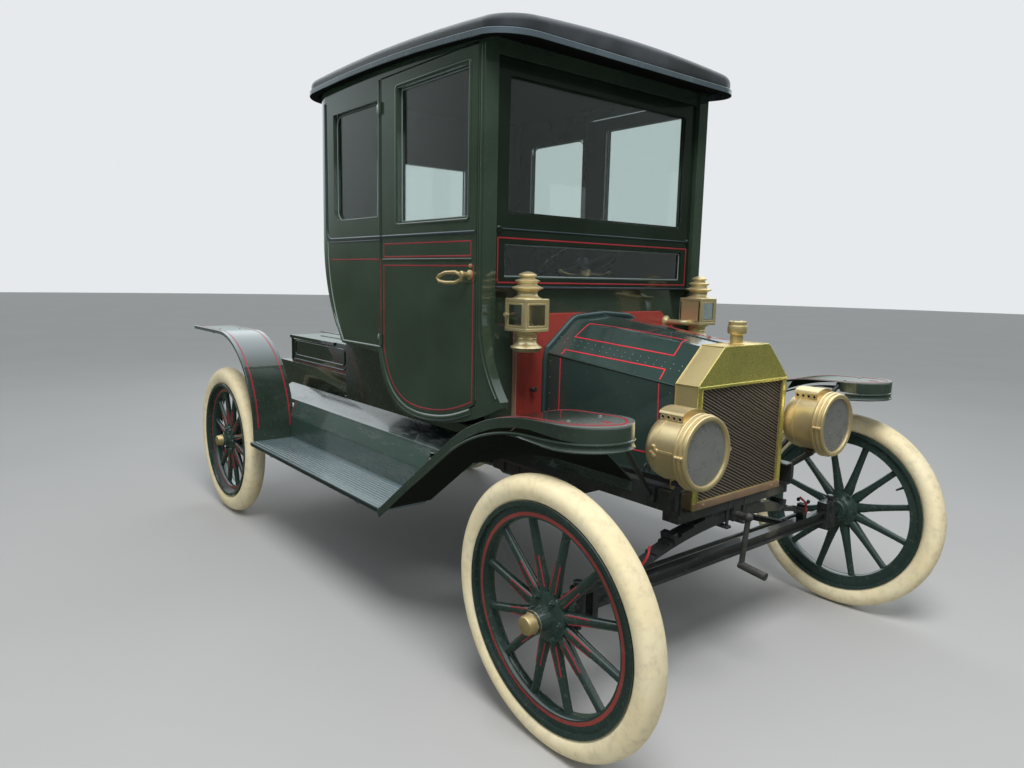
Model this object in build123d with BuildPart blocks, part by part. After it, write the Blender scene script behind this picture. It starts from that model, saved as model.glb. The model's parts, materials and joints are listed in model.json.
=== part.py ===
from build123d import *
import math
import os

os.makedirs("parts", exist_ok=True)

# Frame: +X forward, +Y left, +Z up, millimetres, ground at Z 0.
# Lengths along the car are given from the front axle, so FX turns them into frame X.

# wheels and stance
wheelbase = 2540.0
track = 1524.0
wheel_r = 381.0
camber = 3.08
front_tyre_sec = 38.0
rear_tyre_sec = 48.0
tail_x = -2994.0
FX = -(wheel_r + tail_x) / 2.0
RX = FX - wheelbase

# clearances
seat_gap = 0.3
run_gap = 5.0
pin_gap = 0.08

# wheel parts
spokes = 12
felloe_depth = 38.0
felloe_w = 40.0
spoke_r_hub = 17.5
spoke_r_rim = 12.5
hub_flange_r = 74.0
hub_flange_w = 34.0
hub_barrel_r = 33.0
hub_bore_r = 16.0
spindle_r = hub_bore_r - pin_gap
front_cap_out = 86.0
rear_cap_out = 74.0
hub_inner = 58.0

# chassis
rail_y = 288.0
rail_flange = 38.0
rail_h = 75.0
rail_t = 5.0
rail_top = 643.5
rail_front = 40.0
rail_rear = -2600.0

# front axle
axle_z = 380.0
axle_h = 42.0
axle_w = 30.0
kingpin_y = 684.0
kingpin_r = 11.0
yoke_r = 23.0
yoke_gap = 70.0
yoke_t = 16.0
perch_y = 472.0

# springs
leaf_t = 7.0
leaf_w = 45.0
front_leaves = 6
rear_leaves = 7

# radiator
rad_front = 32.5
rad_depth = 87.5
rad_half = 240.4
rad_bottom = rail_top - rail_h
rad_top = 1065.5
rad_shoulder = rad_top - 112.7
rad_top_half = 120.6
rad_bezel = 20.0
core_bottom = rad_bottom + 23.5
core_top = rad_shoulder - 8.8

# hood: half widths and heights at its front and rear ends
hood_front_x = -60.5
hood_rear_x = -597.0
hood_t = 4.0
hinge_r = 4.0
hood_bottom = 650.0
hood_ends = [
    # x, side half width, shoulder z, top half width, top edge z, crown z, edge radius
    (hood_front_x, rad_half - 4.4, rad_shoulder - 4.8, 118.0, rad_top - 5.5, rad_top - 0.5, 22.0),
    (hood_rear_x, 285.0, 1003.0, 150.0, 1117.0, 1128.0, 70.0),
]

# firewall
fire_x = -602.0
fire_t = 22.0
fire_half = 422.0
fire_top = 1138.0
fire_cut = 62.0
fire_bottom = 650.0

# cab
cab_front = -600.0
cab_back = -1897.0
cab_half = 575.0
wall_t = 35.0
corner_r = 140.0
door_front = -637.0
door_rear = -1262.0
door_top = 1998.0
door_t = 38.0
pane_in = 19.0           # outer face of the glass behind the body's face
pane_t = 5.0
belt_z = 1405.0
shield_x = -627.0
sill_z = 1233.0
seat_half = 425.0
wall_split = seat_half + 10.0
quarter_z = 966.0

# roof
roof_front = -458.0
roof_back = -1930.0
roof_half = 604.0
roof_r = 130.0
roof_u = 2038.0
roof_peak_x = -1450.0
roof_R = 10000.0
drip_h = 22.0
drip_out = 8.0
drip_w = 33.0
roof_edge_h = 38.0
roof_crown = 30.0

# lower body and deck
sill_half = 498.0
sill_bottom = rail_top + seat_gap
floor_z = 700.0
deck_half = 468.0
deck_rear = -2580.0
deck_top = 790.0
box_half = 462.0
box_rear = -2440.0
box_front = -1775.0
box_top = 932.0
lid_front = -1925.0
lid_t = 15.0

# fenders and running boards
fender_out = 825.0
fender_in = 600.0
rear_fender_out = 802.0
rear_fender_in = 600.0
sheet = 3.0
board_out = 820.0
board_in = 622.0
board_top = 455.0
board_t = 22.0
board_front = -865.4
rf_r = 470.0
rf_x = -2570.0
board_rear = rf_x + rf_r + seat_gap

# lamps
lamp_x = 152.0
lamp_y = 360.0
lamp_z = 791.0
lamp_rim_r = 111.0
lamp_body_r = 94.0
lamp_len = 150.0
side_lamp_x = -508.0
side_lamp_y = 458.0
side_lamp_z = 1141.0


def save(part, label):
    part.label = label
    export_step(part, f"parts/{label}.step")


def save_pair(part, base):
    left = mirror(part, about=Plane.XZ)
    save(part, base + "_right")
    save(left, base + "_left")


def both(part):
    # the piece and its mirror image as one node
    return Compound(children=[*part.solids(), *mirror(part, about=Plane.XZ).solids()])


def box_at(x0, x1, y0, y1, z0, z1):
    block = Box(abs(x1 - x0), abs(y1 - y0), abs(z1 - z0), mode=Mode.PRIVATE)
    return Pos((x0 + x1) / 2, (y0 + y1) / 2, (z0 + z1) / 2) * block


def slab(sketch, y0, y1):
    # side outline drawn in the XZ plane, made solid from y0 to y1
    return Pos(0, y0, 0) * extrude(sketch, amount=y1 - y0, dir=(0, 1, 0), mode=Mode.PRIVATE)


def column_of(sketch, z0, z1):
    # plan outline made solid from z0 to z1; the sketch lies at height 0
    return Pos(0, 0, z0) * extrude(sketch, amount=z1 - z0, dir=(0, 0, 1), mode=Mode.PRIVATE)


def rod(p, q, r):
    d = Vector(*q) - Vector(*p)
    mid = (Vector(*p) + Vector(*q)) * 0.5
    return Location(Plane(origin=mid, z_dir=d)) * Cylinder(r, d.length, mode=Mode.PRIVATE)


def wheel_loc(front, side):
    # hub axis is local Z and points outboard, the wheel's middle plane is local Z 0
    tilt = camber if front else 0.0
    a = math.radians(tilt)
    sec = front_tyre_sec if front else rear_tyre_sec
    z = (wheel_r - sec) * math.cos(a) + sec
    y = side * (track / 2 + wheel_r * math.tan(a))
    out = Vector(0, side * math.cos(a), -math.sin(a))
    x = FX if front else RX
    return Location(Plane(origin=(x, y, z), x_dir=(1, 0, 0), z_dir=out))


# wheels and tyres: wood wheel with hub, and a round tyre on its rim
for end, front, sec, cap in (
    ("front", True, front_tyre_sec, front_cap_out),
    ("rear", False, rear_tyre_sec, rear_cap_out),
):
    mid_r = wheel_r - sec
    seat_r = mid_r - sec + (4.0 if front else 8.0)
    flange_y = sec - (8.0 if front else 5.0)
    flange_h = 6.0
    rim_t = 8.0
    felloe_out = seat_r - rim_t
    felloe_in = felloe_out - felloe_depth
    with BuildPart() as tyre:
        with BuildSketch(Plane.XZ) as tyre_sec:
            with Locations((mid_r, 0)):
                Circle(sec)
            with Locations((seat_r + seat_gap - sec, 0)):
                Rectangle(2 * sec, 4 * sec, mode=Mode.SUBTRACT)
        revolve(axis=Axis.Z)
    with BuildPart() as wheel:
        # steel rim channel and wood felloe
        with BuildSketch(Plane.XZ) as rim_sec:
            with BuildLine():
                Polyline(
                    (felloe_in, -felloe_w / 2),
                    (felloe_out, -felloe_w / 2),
                    (felloe_out, -flange_y),
                    (seat_r + flange_h, -flange_y - 1),
                    (seat_r + flange_h, -flange_y + 3),
                    (seat_r, -flange_y + 5),
                    (seat_r, flange_y - 5),
                    (seat_r + flange_h, flange_y - 3),
                    (seat_r + flange_h, flange_y + 1),
                    (felloe_out, flange_y),
                    (felloe_out, felloe_w / 2),
                    (felloe_in, felloe_w / 2),
                    close=True,
                )
            make_face()
        revolve(axis=Axis.Z)
        # hub: inner barrel, flange pair over the spoke roots, outer barrel and cap
        with BuildSketch(Plane.XZ) as hub_sec:
            with BuildLine():
                Polyline(
                    (0, cap),
                    (20, cap),
                    (26, cap - 6),
                    (26, cap - 22),
                    (31, cap - 26),
                    (hub_barrel_r, 24),
                    (hub_flange_r, hub_flange_w / 2),
                    (hub_flange_r, -hub_flange_w / 2),
                    (hub_barrel_r + 12, -26),
                    (hub_barrel_r + 6, -hub_inner),
                    (hub_bore_r, -hub_inner),
                    (hub_bore_r, cap - 30),
                    (0, cap - 30),
                    close=True,
                )
            make_face()
        revolve(axis=Axis.Z)
        spoke_len = felloe_in - hub_flange_r + 12
        with PolarLocations(0, spokes, start_angle=15):
            with Locations(
                Location((hub_flange_r - 8 + spoke_len / 2, 0, 0), (0, 90, 0))
            ):
                Cone(spoke_r_hub - 1, spoke_r_rim, spoke_len)
    for side, tag in ((-1, "right"), (1, "left")):
        loc = wheel_loc(front, side)
        save(loc * tyre.part, f"{end}_tyre_{tag}")
        save(loc * wheel.part, f"{end}_wheel_{tag}")

# frame rails: two channels, open side inwards
with BuildPart() as rails:
    for side in (-1, 1):
        with BuildSketch(Plane.YZ.offset(FX + rail_rear)) as rail_sec:
            with BuildLine():
                y0 = side * (rail_y + rail_flange / 2)
                y1 = side * (rail_y - rail_flange / 2)
                yi = y0 - side * rail_t
                Polyline(
                    (y0, rail_top),
                    (y1, rail_top),
                    (y1, rail_top - rail_t),
                    (yi, rail_top - rail_t),
                    (yi, rail_top - rail_h + rail_t),
                    (y1, rail_top - rail_h + rail_t),
                    (y1, rail_top - rail_h),
                    (y0, rail_top - rail_h),
                    close=True,
                )
            make_face()
        extrude(amount=rail_front - rail_rear)
save(rails.part, "frame_rails")

crank_z = 516.0
crank_r = 11.0
# crossmembers between the rails' webs, front and rear ones carry the springs
cross_half = rail_y + rail_flange / 2 - rail_t - seat_gap
with BuildPart() as crossmembers:
    for x, w, z0, z1 in (
        (0.0, 60.0, rail_top - rail_h - 30.0, rail_top - rail_h - seat_gap),
        (-1330.0, 60.0, rail_top - rail_h + rail_t + seat_gap, rail_top - rail_h + 40.0),
        (-2540.0, 64.0, rail_top - rail_h + rail_t + seat_gap, rail_top - rail_t - seat_gap),
    ):
        add(box_at(FX + x - w / 2, FX + x + w / 2, -cross_half, cross_half, z0, z1))
    # seat of the rear spring between the rails' flanges
    add(box_at(RX - 32, RX + 32, -60, 60, rail_top - rail_h, rail_top - rail_h + rail_t + 1))
    # hanging lug that carries the starting crank's shaft
    add(box_at(FX + 24, FX + 34, -20, 20, crank_z - 22, rail_top - rail_h - 20))
    with Locations(Location((FX + 29, 0, crank_z), (0, 90, 0))):
        Cylinder(crank_r + seat_gap, 40, mode=Mode.SUBTRACT)
save(crossmembers.part, "frame_crossmembers")

# transverse leaf springs: stepped packs, arched, centre on the crossmember
eye_r = 11.7
eye_out = 6.0


def spring_eye_z(half, centre_top, end_drop, leaves):
    arc_r = (half * half + end_drop * end_drop) / (2 * end_drop)
    r_low = arc_r - leaf_t * (leaves - 1) - leaf_t / 2
    return centre_top - arc_r + math.sqrt(r_low ** 2 - half ** 2)


def spring(half, centre_top, end_drop, leaves, x):
    with BuildPart() as pack:
        with BuildSketch(Plane.YZ.offset(FX + x - leaf_w / 2)) as leaf_sec:
            arc_r = (half * half + end_drop * end_drop) / (2 * end_drop)
            for i in range(leaves):
                # the longest leaf is at the bottom
                h = half * (1.0 - 0.13 * (leaves - 1 - i))
                ro = arc_r - leaf_t * (i if i else 0)
                zc = centre_top - arc_r
                a = math.asin(h / ro)
                ri = ro - leaf_t - 0.2
                pts = [
                    (ro * math.sin(-a), zc + ro * math.cos(a)),
                    (0, zc + ro),
                    (ro * math.sin(a), zc + ro * math.cos(a)),
                    (ri * math.sin(a), zc + ri * math.cos(a)),
                    (0, zc + ri),
                    (ri * math.sin(-a), zc + ri * math.cos(a)),
                ]
                with BuildLine():
                    ThreePointArc(pts[0], pts[1], pts[2])
                    Line(pts[2], pts[3])
                    ThreePointArc(pts[3], pts[4], pts[5])
                    Line(pts[5], pts[0])
                make_face()
        extrude(amount=leaf_w)
        # eyes at the ends of the longest leaf
        for s in (-1, 1):
            with Locations(Location((FX + x, s * (half + eye_out), spring_eye_z(half, centre_top, end_drop,
                                                                              leaves)), (0, 90, 0))):
                Cylinder(eye_r, leaf_w)
    return pack.part


front_spring_top = rail_top - rail_h - 30.0 - seat_gap
front_half_spring = perch_y - 30.0
front_pack = spring(front_half_spring, front_spring_top, 62.0, front_leaves, 0.0)
rear_spring_top = rail_top - rail_h - seat_gap
rear_half_spring = 575.0
rear_pack = spring(rear_half_spring, rear_spring_top, 66.0, rear_leaves, -wheelbase)
save(Compound(children=[*front_pack.solids(), *rear_pack.solids()]), "leaf_springs")

# front axle: straight I beam, forked ends round the knuckles, spring perches
with BuildPart() as axle:
    with BuildSketch(Plane.XZ) as beam_sec:
        with Locations((FX, axle_z)):
            Rectangle(axle_w, axle_h)
        for s in (-1, 1):
            with Locations((FX + s * (axle_w / 2 - 5), axle_z)):
                Rectangle(10.02, axle_h - 18, mode=Mode.SUBTRACT)
    extrude(amount=kingpin_y - 52, both=True)
    for s in (-1, 1):
        # fork: back plate and two arms
        add(box_at(FX - 20, FX + 20, s * (kingpin_y - 62), s * (kingpin_y - 40),
                   axle_z - yoke_gap / 2 - yoke_t, axle_z + yoke_gap / 2 + yoke_t))
        for z in (axle_z - yoke_gap / 2 - yoke_t / 2, axle_z + yoke_gap / 2 + yoke_t / 2):
            add(box_at(FX - 20, FX + 20, s * (kingpin_y - 50), s * kingpin_y,
                       z - yoke_t / 2, z + yoke_t / 2))
            with Locations((FX, s * kingpin_y, z)):
                Cylinder(yoke_r, yoke_t)
        # spring perch with its shackle
        add(box_at(FX - 14, FX + 14, s * (front_half_spring + eye_out + eye_r + seat_gap),
                   s * (perch_y + 12), axle_z + axle_h / 2 - 1,
                   spring_eye_z(front_half_spring, front_spring_top, 62.0, front_leaves) + 20))

# steering knuckles: barrel in the fork, kingpin, spindle along the wheel's axis, steering arm
arm_x = -118.0
arm_in = 0.0
tie_pin_r = 6.0
arm_z = axle_z - 34.0
arm_r = 7.5
eye_h = 16.0
wl = wheel_loc(True, -1)
ang = math.radians(camber)
spindle_out = Vector(0, -math.cos(ang), -math.sin(ang))
wc = Vector(*wl.position)
with BuildPart() as knuckle:
    with Locations((FX, -kingpin_y, axle_z)):
        Cylinder(yoke_r, yoke_gap - 2 * 1.0)
        Cylinder(kingpin_r, yoke_gap + 2 * yoke_t + 14)
    inner = wc - spindle_out * ((abs(wc.Y) - kingpin_y) / math.cos(ang))
    add(rod(inner, wc + spindle_out * (front_cap_out - 34), spindle_r))
    shoulder = wc - spindle_out * (hub_inner + 6)
    add(rod(inner, shoulder, 19.0))
    add(rod((FX - 10, -kingpin_y, axle_z - 18), (FX - 64, -kingpin_y, arm_z - 0.6), arm_r))
    add(rod((FX - 56, -kingpin_y, arm_z), (FX + arm_x, -kingpin_y + arm_in, arm_z), arm_r))
    with Locations((FX + arm_x, -kingpin_y + arm_in, arm_z)):
        Cylinder(13.0, eye_h)
        Cylinder(tie_pin_r + pin_gap, 40.0, mode=Mode.SUBTRACT)
kingpin_clear = kingpin_r + pin_gap
save_pair(knuckle.part, "front_knuckle")

# clear the kingpins through the axle forks
with BuildPart() as axle2:
    add(axle.part)
    for s in (-1, 1):
        with Locations((FX, s * kingpin_y, axle_z)):
            Cylinder(kingpin_clear, 2 * yoke_gap + 2 * yoke_t, mode=Mode.SUBTRACT)
save(axle2.part, "front_axle")

# tie rod: yokes over both arm eyes, pins through them stay with the rod
tie_y = kingpin_y - arm_in
with BuildPart() as tie:
    add(rod((FX + arm_x, -tie_y + 24, arm_z), (FX + arm_x, tie_y - 24, arm_z), 8.0))
    for s in (-1, 1):
        add(box_at(FX + arm_x - 13, FX + arm_x + 13, s * (tie_y - 30), s * (tie_y - 18),
                   arm_z - eye_h / 2 - 4.3, arm_z + eye_h / 2 + 4.3))
        for z in (-1, 1):
            add(box_at(FX + arm_x - 13, FX + arm_x + 13, s * (tie_y - 20), s * (tie_y + 12),
                       arm_z + z * (eye_h / 2 + seat_gap), arm_z + z * (eye_h / 2 + seat_gap + 4)))
        with Locations((FX + arm_x, s * tie_y, arm_z)):
            Cylinder(tie_pin_r, eye_h + 14.0)
save(tie.part, "tie_rod")

# front radius rods: from under the beam to a ball under the engine
ball_x = -930.0
ball_z = 428.7
with BuildPart() as front_radius:
    for s in (-1, 1):
        add(rod((FX - axle_w / 2 - 8, s * (perch_y - 60), axle_z + 4),
                (FX + ball_x, s * 7, ball_z), 12.0))
        with Locations((FX - axle_w / 2 - 9, s * (perch_y - 60), axle_z + 6)):
            Box(17.4, 26, 26)
    with Locations((FX + ball_x, 0, ball_z)):
        Sphere(26.0)

# rear axle: housing, tubes, brake drums inside the wheels and the torque tube
rear_z = wheel_r
tube_r = 44.0
tube_front = -1072.7


def tube_z(x):
    # height of the torque tube's middle line at x from the front axle
    return rear_z + (446.0 - rear_z) * (x + wheelbase) / (tube_front + wheelbase)


drum_r = 120.0
drum_in = hub_inner + 48.0
with BuildPart() as rear_axle:
    with Locations((RX, 0, rear_z)):
        Sphere(118.0)
    with Locations(Location((RX, 0, rear_z), (90, 0, 0))):
        Cylinder(tube_r, 2 * (track / 2 - drum_in))
        Cylinder(60.0, 420.0)
        Cylinder(hub_bore_r - pin_gap, 2 * (track / 2 + rear_cap_out - 34))
    for s in (-1, 1):
        y0 = s * (track / 2 - drum_in)
        with Locations(Location((RX, y0 + s * 20, rear_z), (90, 0, 0))):
            Cylinder(drum_r, 40.0)
        # spring perch on the axle tube
        add(box_at(RX - 16, RX + 16, s * (rear_half_spring + eye_out + eye_r + seat_gap),
                   s * (rear_half_spring + 44), rear_z + 38,
                   spring_eye_z(rear_half_spring, rear_spring_top, 66.0, rear_leaves) + 20))
    add(rod((RX, 0, rear_z), (FX + tube_front, 0, tube_z(tube_front)), 40.0))
    add(rod((FX - 1150, 0, tube_z(-1150)), (FX + tube_front, 0, tube_z(tube_front)), 58.0))
save(rear_axle.part, "rear_axle")

with BuildPart() as rear_radius:
    for s in (-1, 1):
        add(rod((RX + 60, s * 545, rear_z - 40), (FX - 1210, s * 50.6, tube_z(-1210)), 11.0))
        add(box_at(RX + math.sqrt(tube_r ** 2 - 20 ** 2) + seat_gap, RX + 82, s * 535, s * 559,
                   rear_z - 60, rear_z - 20))
save(Compound(children=[*front_radius.part.solids(), *rear_radius.part.solids()]),
     "radius_rods")

# engine: one plain block, with the pan and gear case below and behind it
with BuildPart() as engine:
    add(box_at(FX - 560, FX - 120, -110, 130, 560, 930))
save(engine.part, "engine")
pan_sec = [(-62, 470), (62, 470), (120, 540), (120, 559.7), (-120, 559.7), (-120, 540)]
with BuildPart() as pan:
    with BuildSketch(Plane.YZ.offset(FX - 560)) as pan_a:
        with BuildLine():
            Polyline(*pan_sec, close=True)
        make_face()
    extrude(amount=530)
    with Locations((FX - 815, 0, 520)):
        Box(508, 300, 130)
    # arms that carry the pan in the frame rails
    add(box_at(FX - 640, FX - 600, -cross_half, cross_half, 580, 612))
save(pan.part, "engine_pan")

# exhaust: pipe and silencer on the right, under the floor
pipe_y = 200.0
pipe_z = 540.0
with BuildPart() as exhaust:
    add(rod((FX - 400, -110 - seat_gap, 640), (FX - 400, -136, 640), 22.0))
    with Locations((FX - 400, -136, 640)):
        Sphere(22.0)
    add(rod((FX - 400, -136, 640), (FX - 620, -pipe_y, pipe_z), 22.0))
    add(rod((FX - 620, -pipe_y, pipe_z), (FX - 1450, -pipe_y, pipe_z), 22.0))
    with Locations((FX - 620, -pipe_y, pipe_z)):
        Sphere(22.0)
    add(rod((FX - 1440, -pipe_y, pipe_z), (FX - 1900, -pipe_y, pipe_z), 62.0))
    add(rod((FX - 1895, -pipe_y, pipe_z), (FX - 2010, -pipe_y, pipe_z), 16.0))
save(exhaust.part, "exhaust")

# starting crank: shaft under the radiator, arm hanging down, handle forwards
with BuildPart() as crank:
    add(rod((FX + leaf_w / 2 + seat_gap, 0, crank_z), (FX + 84, 0, crank_z), crank_r))
    add(rod((FX + 76, 0, crank_z), (FX + 62, 0, 352), 9.0))
    with Locations((FX + 76, 0, crank_z)):
        Sphere(15.0)
    add(rod((FX + 55, 0, 352), (FX + 152, 0, 340), 13.0))
save(crank.part, "starting_crank")

# radiator: brass shell round the core, filler neck and cap
with BuildPart() as radiator:
    with BuildSketch(Plane.YZ.offset(FX + rad_front - rad_depth)) as rad_out:
        with BuildLine():
            Polyline(
                (-rad_half, rad_bottom), (rad_half, rad_bottom),
                (rad_half, rad_shoulder), (rad_top_half, rad_top),
                (-rad_top_half, rad_top), (-rad_half, rad_shoulder), close=True,
            )
        make_face()
        fillet(rad_out.vertices().filter_by(lambda v: v.Y > rad_shoulder - 1), 14)
    extrude(amount=rad_depth)
    with BuildSketch(Plane.YZ.offset(FX + rad_front - rad_depth)) as rad_hole:
        with Locations((0, (core_bottom + core_top) / 2)):
            Rectangle(2 * (rad_half - rad_bezel), core_top - core_bottom)
    extrude(amount=rad_depth, mode=Mode.SUBTRACT)
    with Locations((FX - 11, 0, rad_top + 16)):
        Cylinder(20.0, 36.0)
    with Locations((FX - 11, 0, rad_top + 54)):
        Cylinder(28.0, 40.0)
save(radiator.part, "radiator_shell")
with BuildPart() as core:
    add(box_at(FX + rad_front - rad_depth + 8, FX + rad_front - 9,
               -(rad_half - rad_bezel - seat_gap), rad_half - rad_bezel - seat_gap,
               core_bottom + seat_gap, core_top - seat_gap))
save(core.part, "radiator_core")

# hood: a side and a top panel each side, folding at the shoulder and the middle line
(xa, ha, sa, ta, za, ca, ra), (xb, hb, sb, tb, zb, cb, rb) = hood_ends


def round_corner(p, corner, q, r):
    # ends and middle of the arc of radius r that rounds the corner between p and q
    corner, p, q = Vector(*corner), Vector(*p), Vector(*q)
    u, v = (p - corner).normalized(), (q - corner).normalized()
    half = math.acos(u.dot(v)) / 2
    run = r / math.tan(half)
    to_mid = (u + v).normalized()
    mid = corner + to_mid * (r / math.sin(half) - r)
    return [(c.X, c.Y) for c in (corner + u * run, mid, corner + v * run)]


with BuildPart() as hood_side:
    for x, h, s in ((xa, ha, sa), (xb, hb, sb)):
        with BuildSketch(Plane.YZ.offset(FX + x)) as side_sec:
            with BuildLine():
                Polyline((-h, hood_bottom), (-h, s - 2 * hinge_r - seat_gap),
                         (-h + hood_t, s - 2 * hinge_r - seat_gap),
                         (-h + hood_t, hood_bottom), close=True)
            make_face()
    loft(ruled=True)
save_pair(hood_side.part, "hood_side")
ridge = hinge_r + seat_gap
with BuildPart() as hood_top:
    for x, h, s, t, z, c, r in hood_ends:
        outer = round_corner((-h, s), (-t, z), (-ridge, c), r)
        inner = round_corner((-h + 4, s - 1), (-t + 2, z - hood_t - 1), (-ridge, c - hood_t), r - hood_t)
        with BuildSketch(Plane.YZ.offset(FX + x)) as top_sec:
            with BuildLine():
                Line((-h, s), outer[0])
                ThreePointArc(*outer)
                Line(outer[2], (-ridge, c))
                Line((-ridge, c), (-ridge, c - hood_t))
                Line((-ridge, c - hood_t), inner[2])
                ThreePointArc(*inner[::-1])
                Line(inner[0], (-h + 4, s - 1))
                Line((-h + 4, s - 1), (-h, s))
            make_face()
    loft(ruled=True)
    # hinge barrel along the shoulder, the side panel hangs just below it
    add(rod((FX + xa, -ha + 2, sa - hinge_r), (FX + xb, -hb + 2, sb - hinge_r), hinge_r))
save_pair(hood_top.part, "hood_top")
# hinge rod along the ridge, from the radiator's tank to the firewall
with BuildPart() as ridge_rod:
    slope = (cb - ca) / (xb - xa)
    rod_ends = [(FX + x, 0, ca - hood_t / 2 + slope * (x - xa))
                for x in (rad_front - rad_depth - 0.8, fire_x + 0.8)]
    add(rod(rod_ends[0], rod_ends[1], hinge_r))
save(ridge_rod.part, "hood_hinge_rod")

# firewall: wooden board with cut top corners
with BuildPart() as firewall:
    with BuildSketch(Plane.YZ.offset(FX + fire_x - fire_t)) as fire_sec:
        with BuildLine():
            Polyline(
                (-fire_half, fire_bottom), (fire_half, fire_bottom),
                (fire_half, fire_top - fire_cut),
                (fire_half - fire_cut * 1.3, fire_top),
                (-fire_half + fire_cut * 1.3, fire_top),
                (-fire_half, fire_top - fire_cut), close=True,
            )
        make_face()
    extrude(amount=fire_t)
save(firewall.part, "firewall")

# cab shell: plan outline crossed with the side outline, hollow, roof line curved
def roof_line(x):
    return roof_u - (x - roof_peak_x) ** 2 / (2 * roof_R)


wall_top = drip_h - seat_gap
# the back tucks in below this height along an arc that starts upright
tuck_top = 1400.0
tuck_x = -1755.0
tuck_r = ((tuck_x - cab_back) ** 2 + (tuck_top - quarter_z) ** 2) / (2 * (tuck_x - cab_back))


def tuck_point(z, inset):
    return (FX + cab_back + tuck_r - math.sqrt((tuck_r - inset) ** 2 - (tuck_top - z) ** 2), z)


# the front pillar's foot sweeps forward to a toe over the fender
toe_top = 1150.0
toe_x = -494.0
toe_z = 858.0
with BuildPart() as shell:
    with BuildSketch(Plane.XZ) as side_out:
        with BuildLine():
            Line((FX + cab_front, roof_line(cab_front) + wall_top), (FX + cab_front, toe_top))
            ThreePointArc((FX + cab_front, toe_top), (FX - 563, 965), (FX + toe_x, toe_z))
            Line((FX + toe_x, toe_z), (FX + toe_x, toe_z - 20))
            ThreePointArc((FX + toe_x, toe_z - 20), (FX - 780, 744), (FX - 1000, 728))
            ThreePointArc((FX - 1000, 728), (FX - 1222, 800), (FX - 1292, 950))
            Line((FX - 1292, 950), (FX + tuck_x, quarter_z))
            ThreePointArc((FX + tuck_x, quarter_z), tuck_point(1170.0, 0.0), (FX + cab_back, tuck_top))
            Line((FX + cab_back, tuck_top), (FX + cab_back, roof_line(cab_back) + wall_top))
            ThreePointArc(
                (FX + cab_back, roof_line(cab_back) + wall_top),
                (FX + roof_peak_x, roof_u + wall_top),
                (FX + cab_front, roof_line(cab_front) + wall_top),
            )
        make_face()
    extrude(amount=cab_half, both=True)
    # the back corners are rounded all the way down the tuck
    fillet(shell.edges().filter_by(
        lambda e: abs(abs(e.center().Y) - cab_half) < 1 and e.center().X < FX + tuck_x - 20
        and e.center().Z < roof_line(cab_back) - 100), corner_r)
    with BuildPart(mode=Mode.PRIVATE) as hollow:
        with BuildSketch(Plane.XZ) as side_in:
            with BuildLine():
                Polyline((FX + toe_x + 5, 2150), (FX + toe_x + 5, 650),
                         (FX - 1262, 650), (FX - 1262, 1000), tuck_point(1005.0, wall_t))
                ThreePointArc(tuck_point(1005.0, wall_t), tuck_point(1170.0, wall_t),
                              tuck_point(tuck_top, wall_t))
                Polyline(tuck_point(tuck_top, wall_t), (FX + cab_back + wall_t, 2150),
                         (FX + toe_x + 5, 2150))
            make_face()
        extrude(amount=cab_half - wall_t, both=True)
        fillet(hollow.edges().filter_by(
            lambda e: abs(abs(e.center().Y) - cab_half + wall_t) < 1
            and e.center().X < FX + tuck_x + wall_t - 20 and e.center().Z < 2100), corner_r - wall_t)
    add(hollow.part, mode=Mode.SUBTRACT)

# door outline and its opening in the side
def door_face(grow):
    with BuildSketch(Plane.XZ) as face:
        with BuildLine():
            f = FX + door_front
            r = FX + door_rear
            Line((f, door_top), (f, 830))
            ThreePointArc((f, 830), (FX - 840, 764), (FX - 1000, 757))
            ThreePointArc((FX - 1000, 757), (FX - 1198, 822), (r, 975))
            Line((r, 975), (r, door_top))
            Line((r, door_top), (f, door_top))
        make_face()
        if grow:
            offset(amount=grow, kind=Kind.INTERSECTION)
    return face.sketch


opening = slab(door_face(run_gap), -cab_half - 30, -cab_half + 75)

quarter_win = (-1680.0, -1297.0, 1487.0, 1928.0)
door_win = (-1143.0, -690.0, 1460.0, 1946.0)


def window_cut(win, y0, y1, r):
    x0, x1, z0, z1 = win
    with BuildSketch(Plane.XZ) as win_sec:
        with Locations((FX + (x0 + x1) / 2, (z0 + z1) / 2)):
            Rectangle(x1 - x0, z1 - z0)
        fillet(win_sec.vertices().sort_by(Axis.Y)[:2].sort_by(Axis.X)[0], r)
    return slab(win_sec.sketch, y0, y1)


hinge_x = door_rear - run_gap / 2
door_barrel = 6.0
hinge_zs = (1003.0, 1895.0)
quarter_cut = window_cut(quarter_win, -cab_half - 5, -cab_half + 75, 50.0)
door_cut = window_cut(door_win, -cab_half - 5, -cab_half + 75, 4.0)
with BuildPart() as cab_side:
    add(shell.part)
    with Locations((FX - 1000, 1000 - wall_split, 1500)):
        Box(2500, 2000, 2000, mode=Mode.SUBTRACT)
    add(opening, mode=Mode.SUBTRACT)
    add(quarter_cut, mode=Mode.SUBTRACT)
    # front pillar stands a little deeper than the wall
    add(box_at(FX + door_front + run_gap, FX + cab_front, -cab_half, -cab_half + 55,
               850, roof_line(cab_front) + drip_h - 2))
    # two hinges at the door's rear edge
    for z in hinge_zs:
        with Locations((FX + hinge_x, -cab_half - door_barrel, z)):
            Cylinder(door_barrel, 44.0)
        add(box_at(FX + hinge_x - 30, FX + hinge_x, -cab_half - 4, -cab_half + 1, z - 22, z + 22))
save_pair(cab_side.part, "cab_side")

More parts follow.
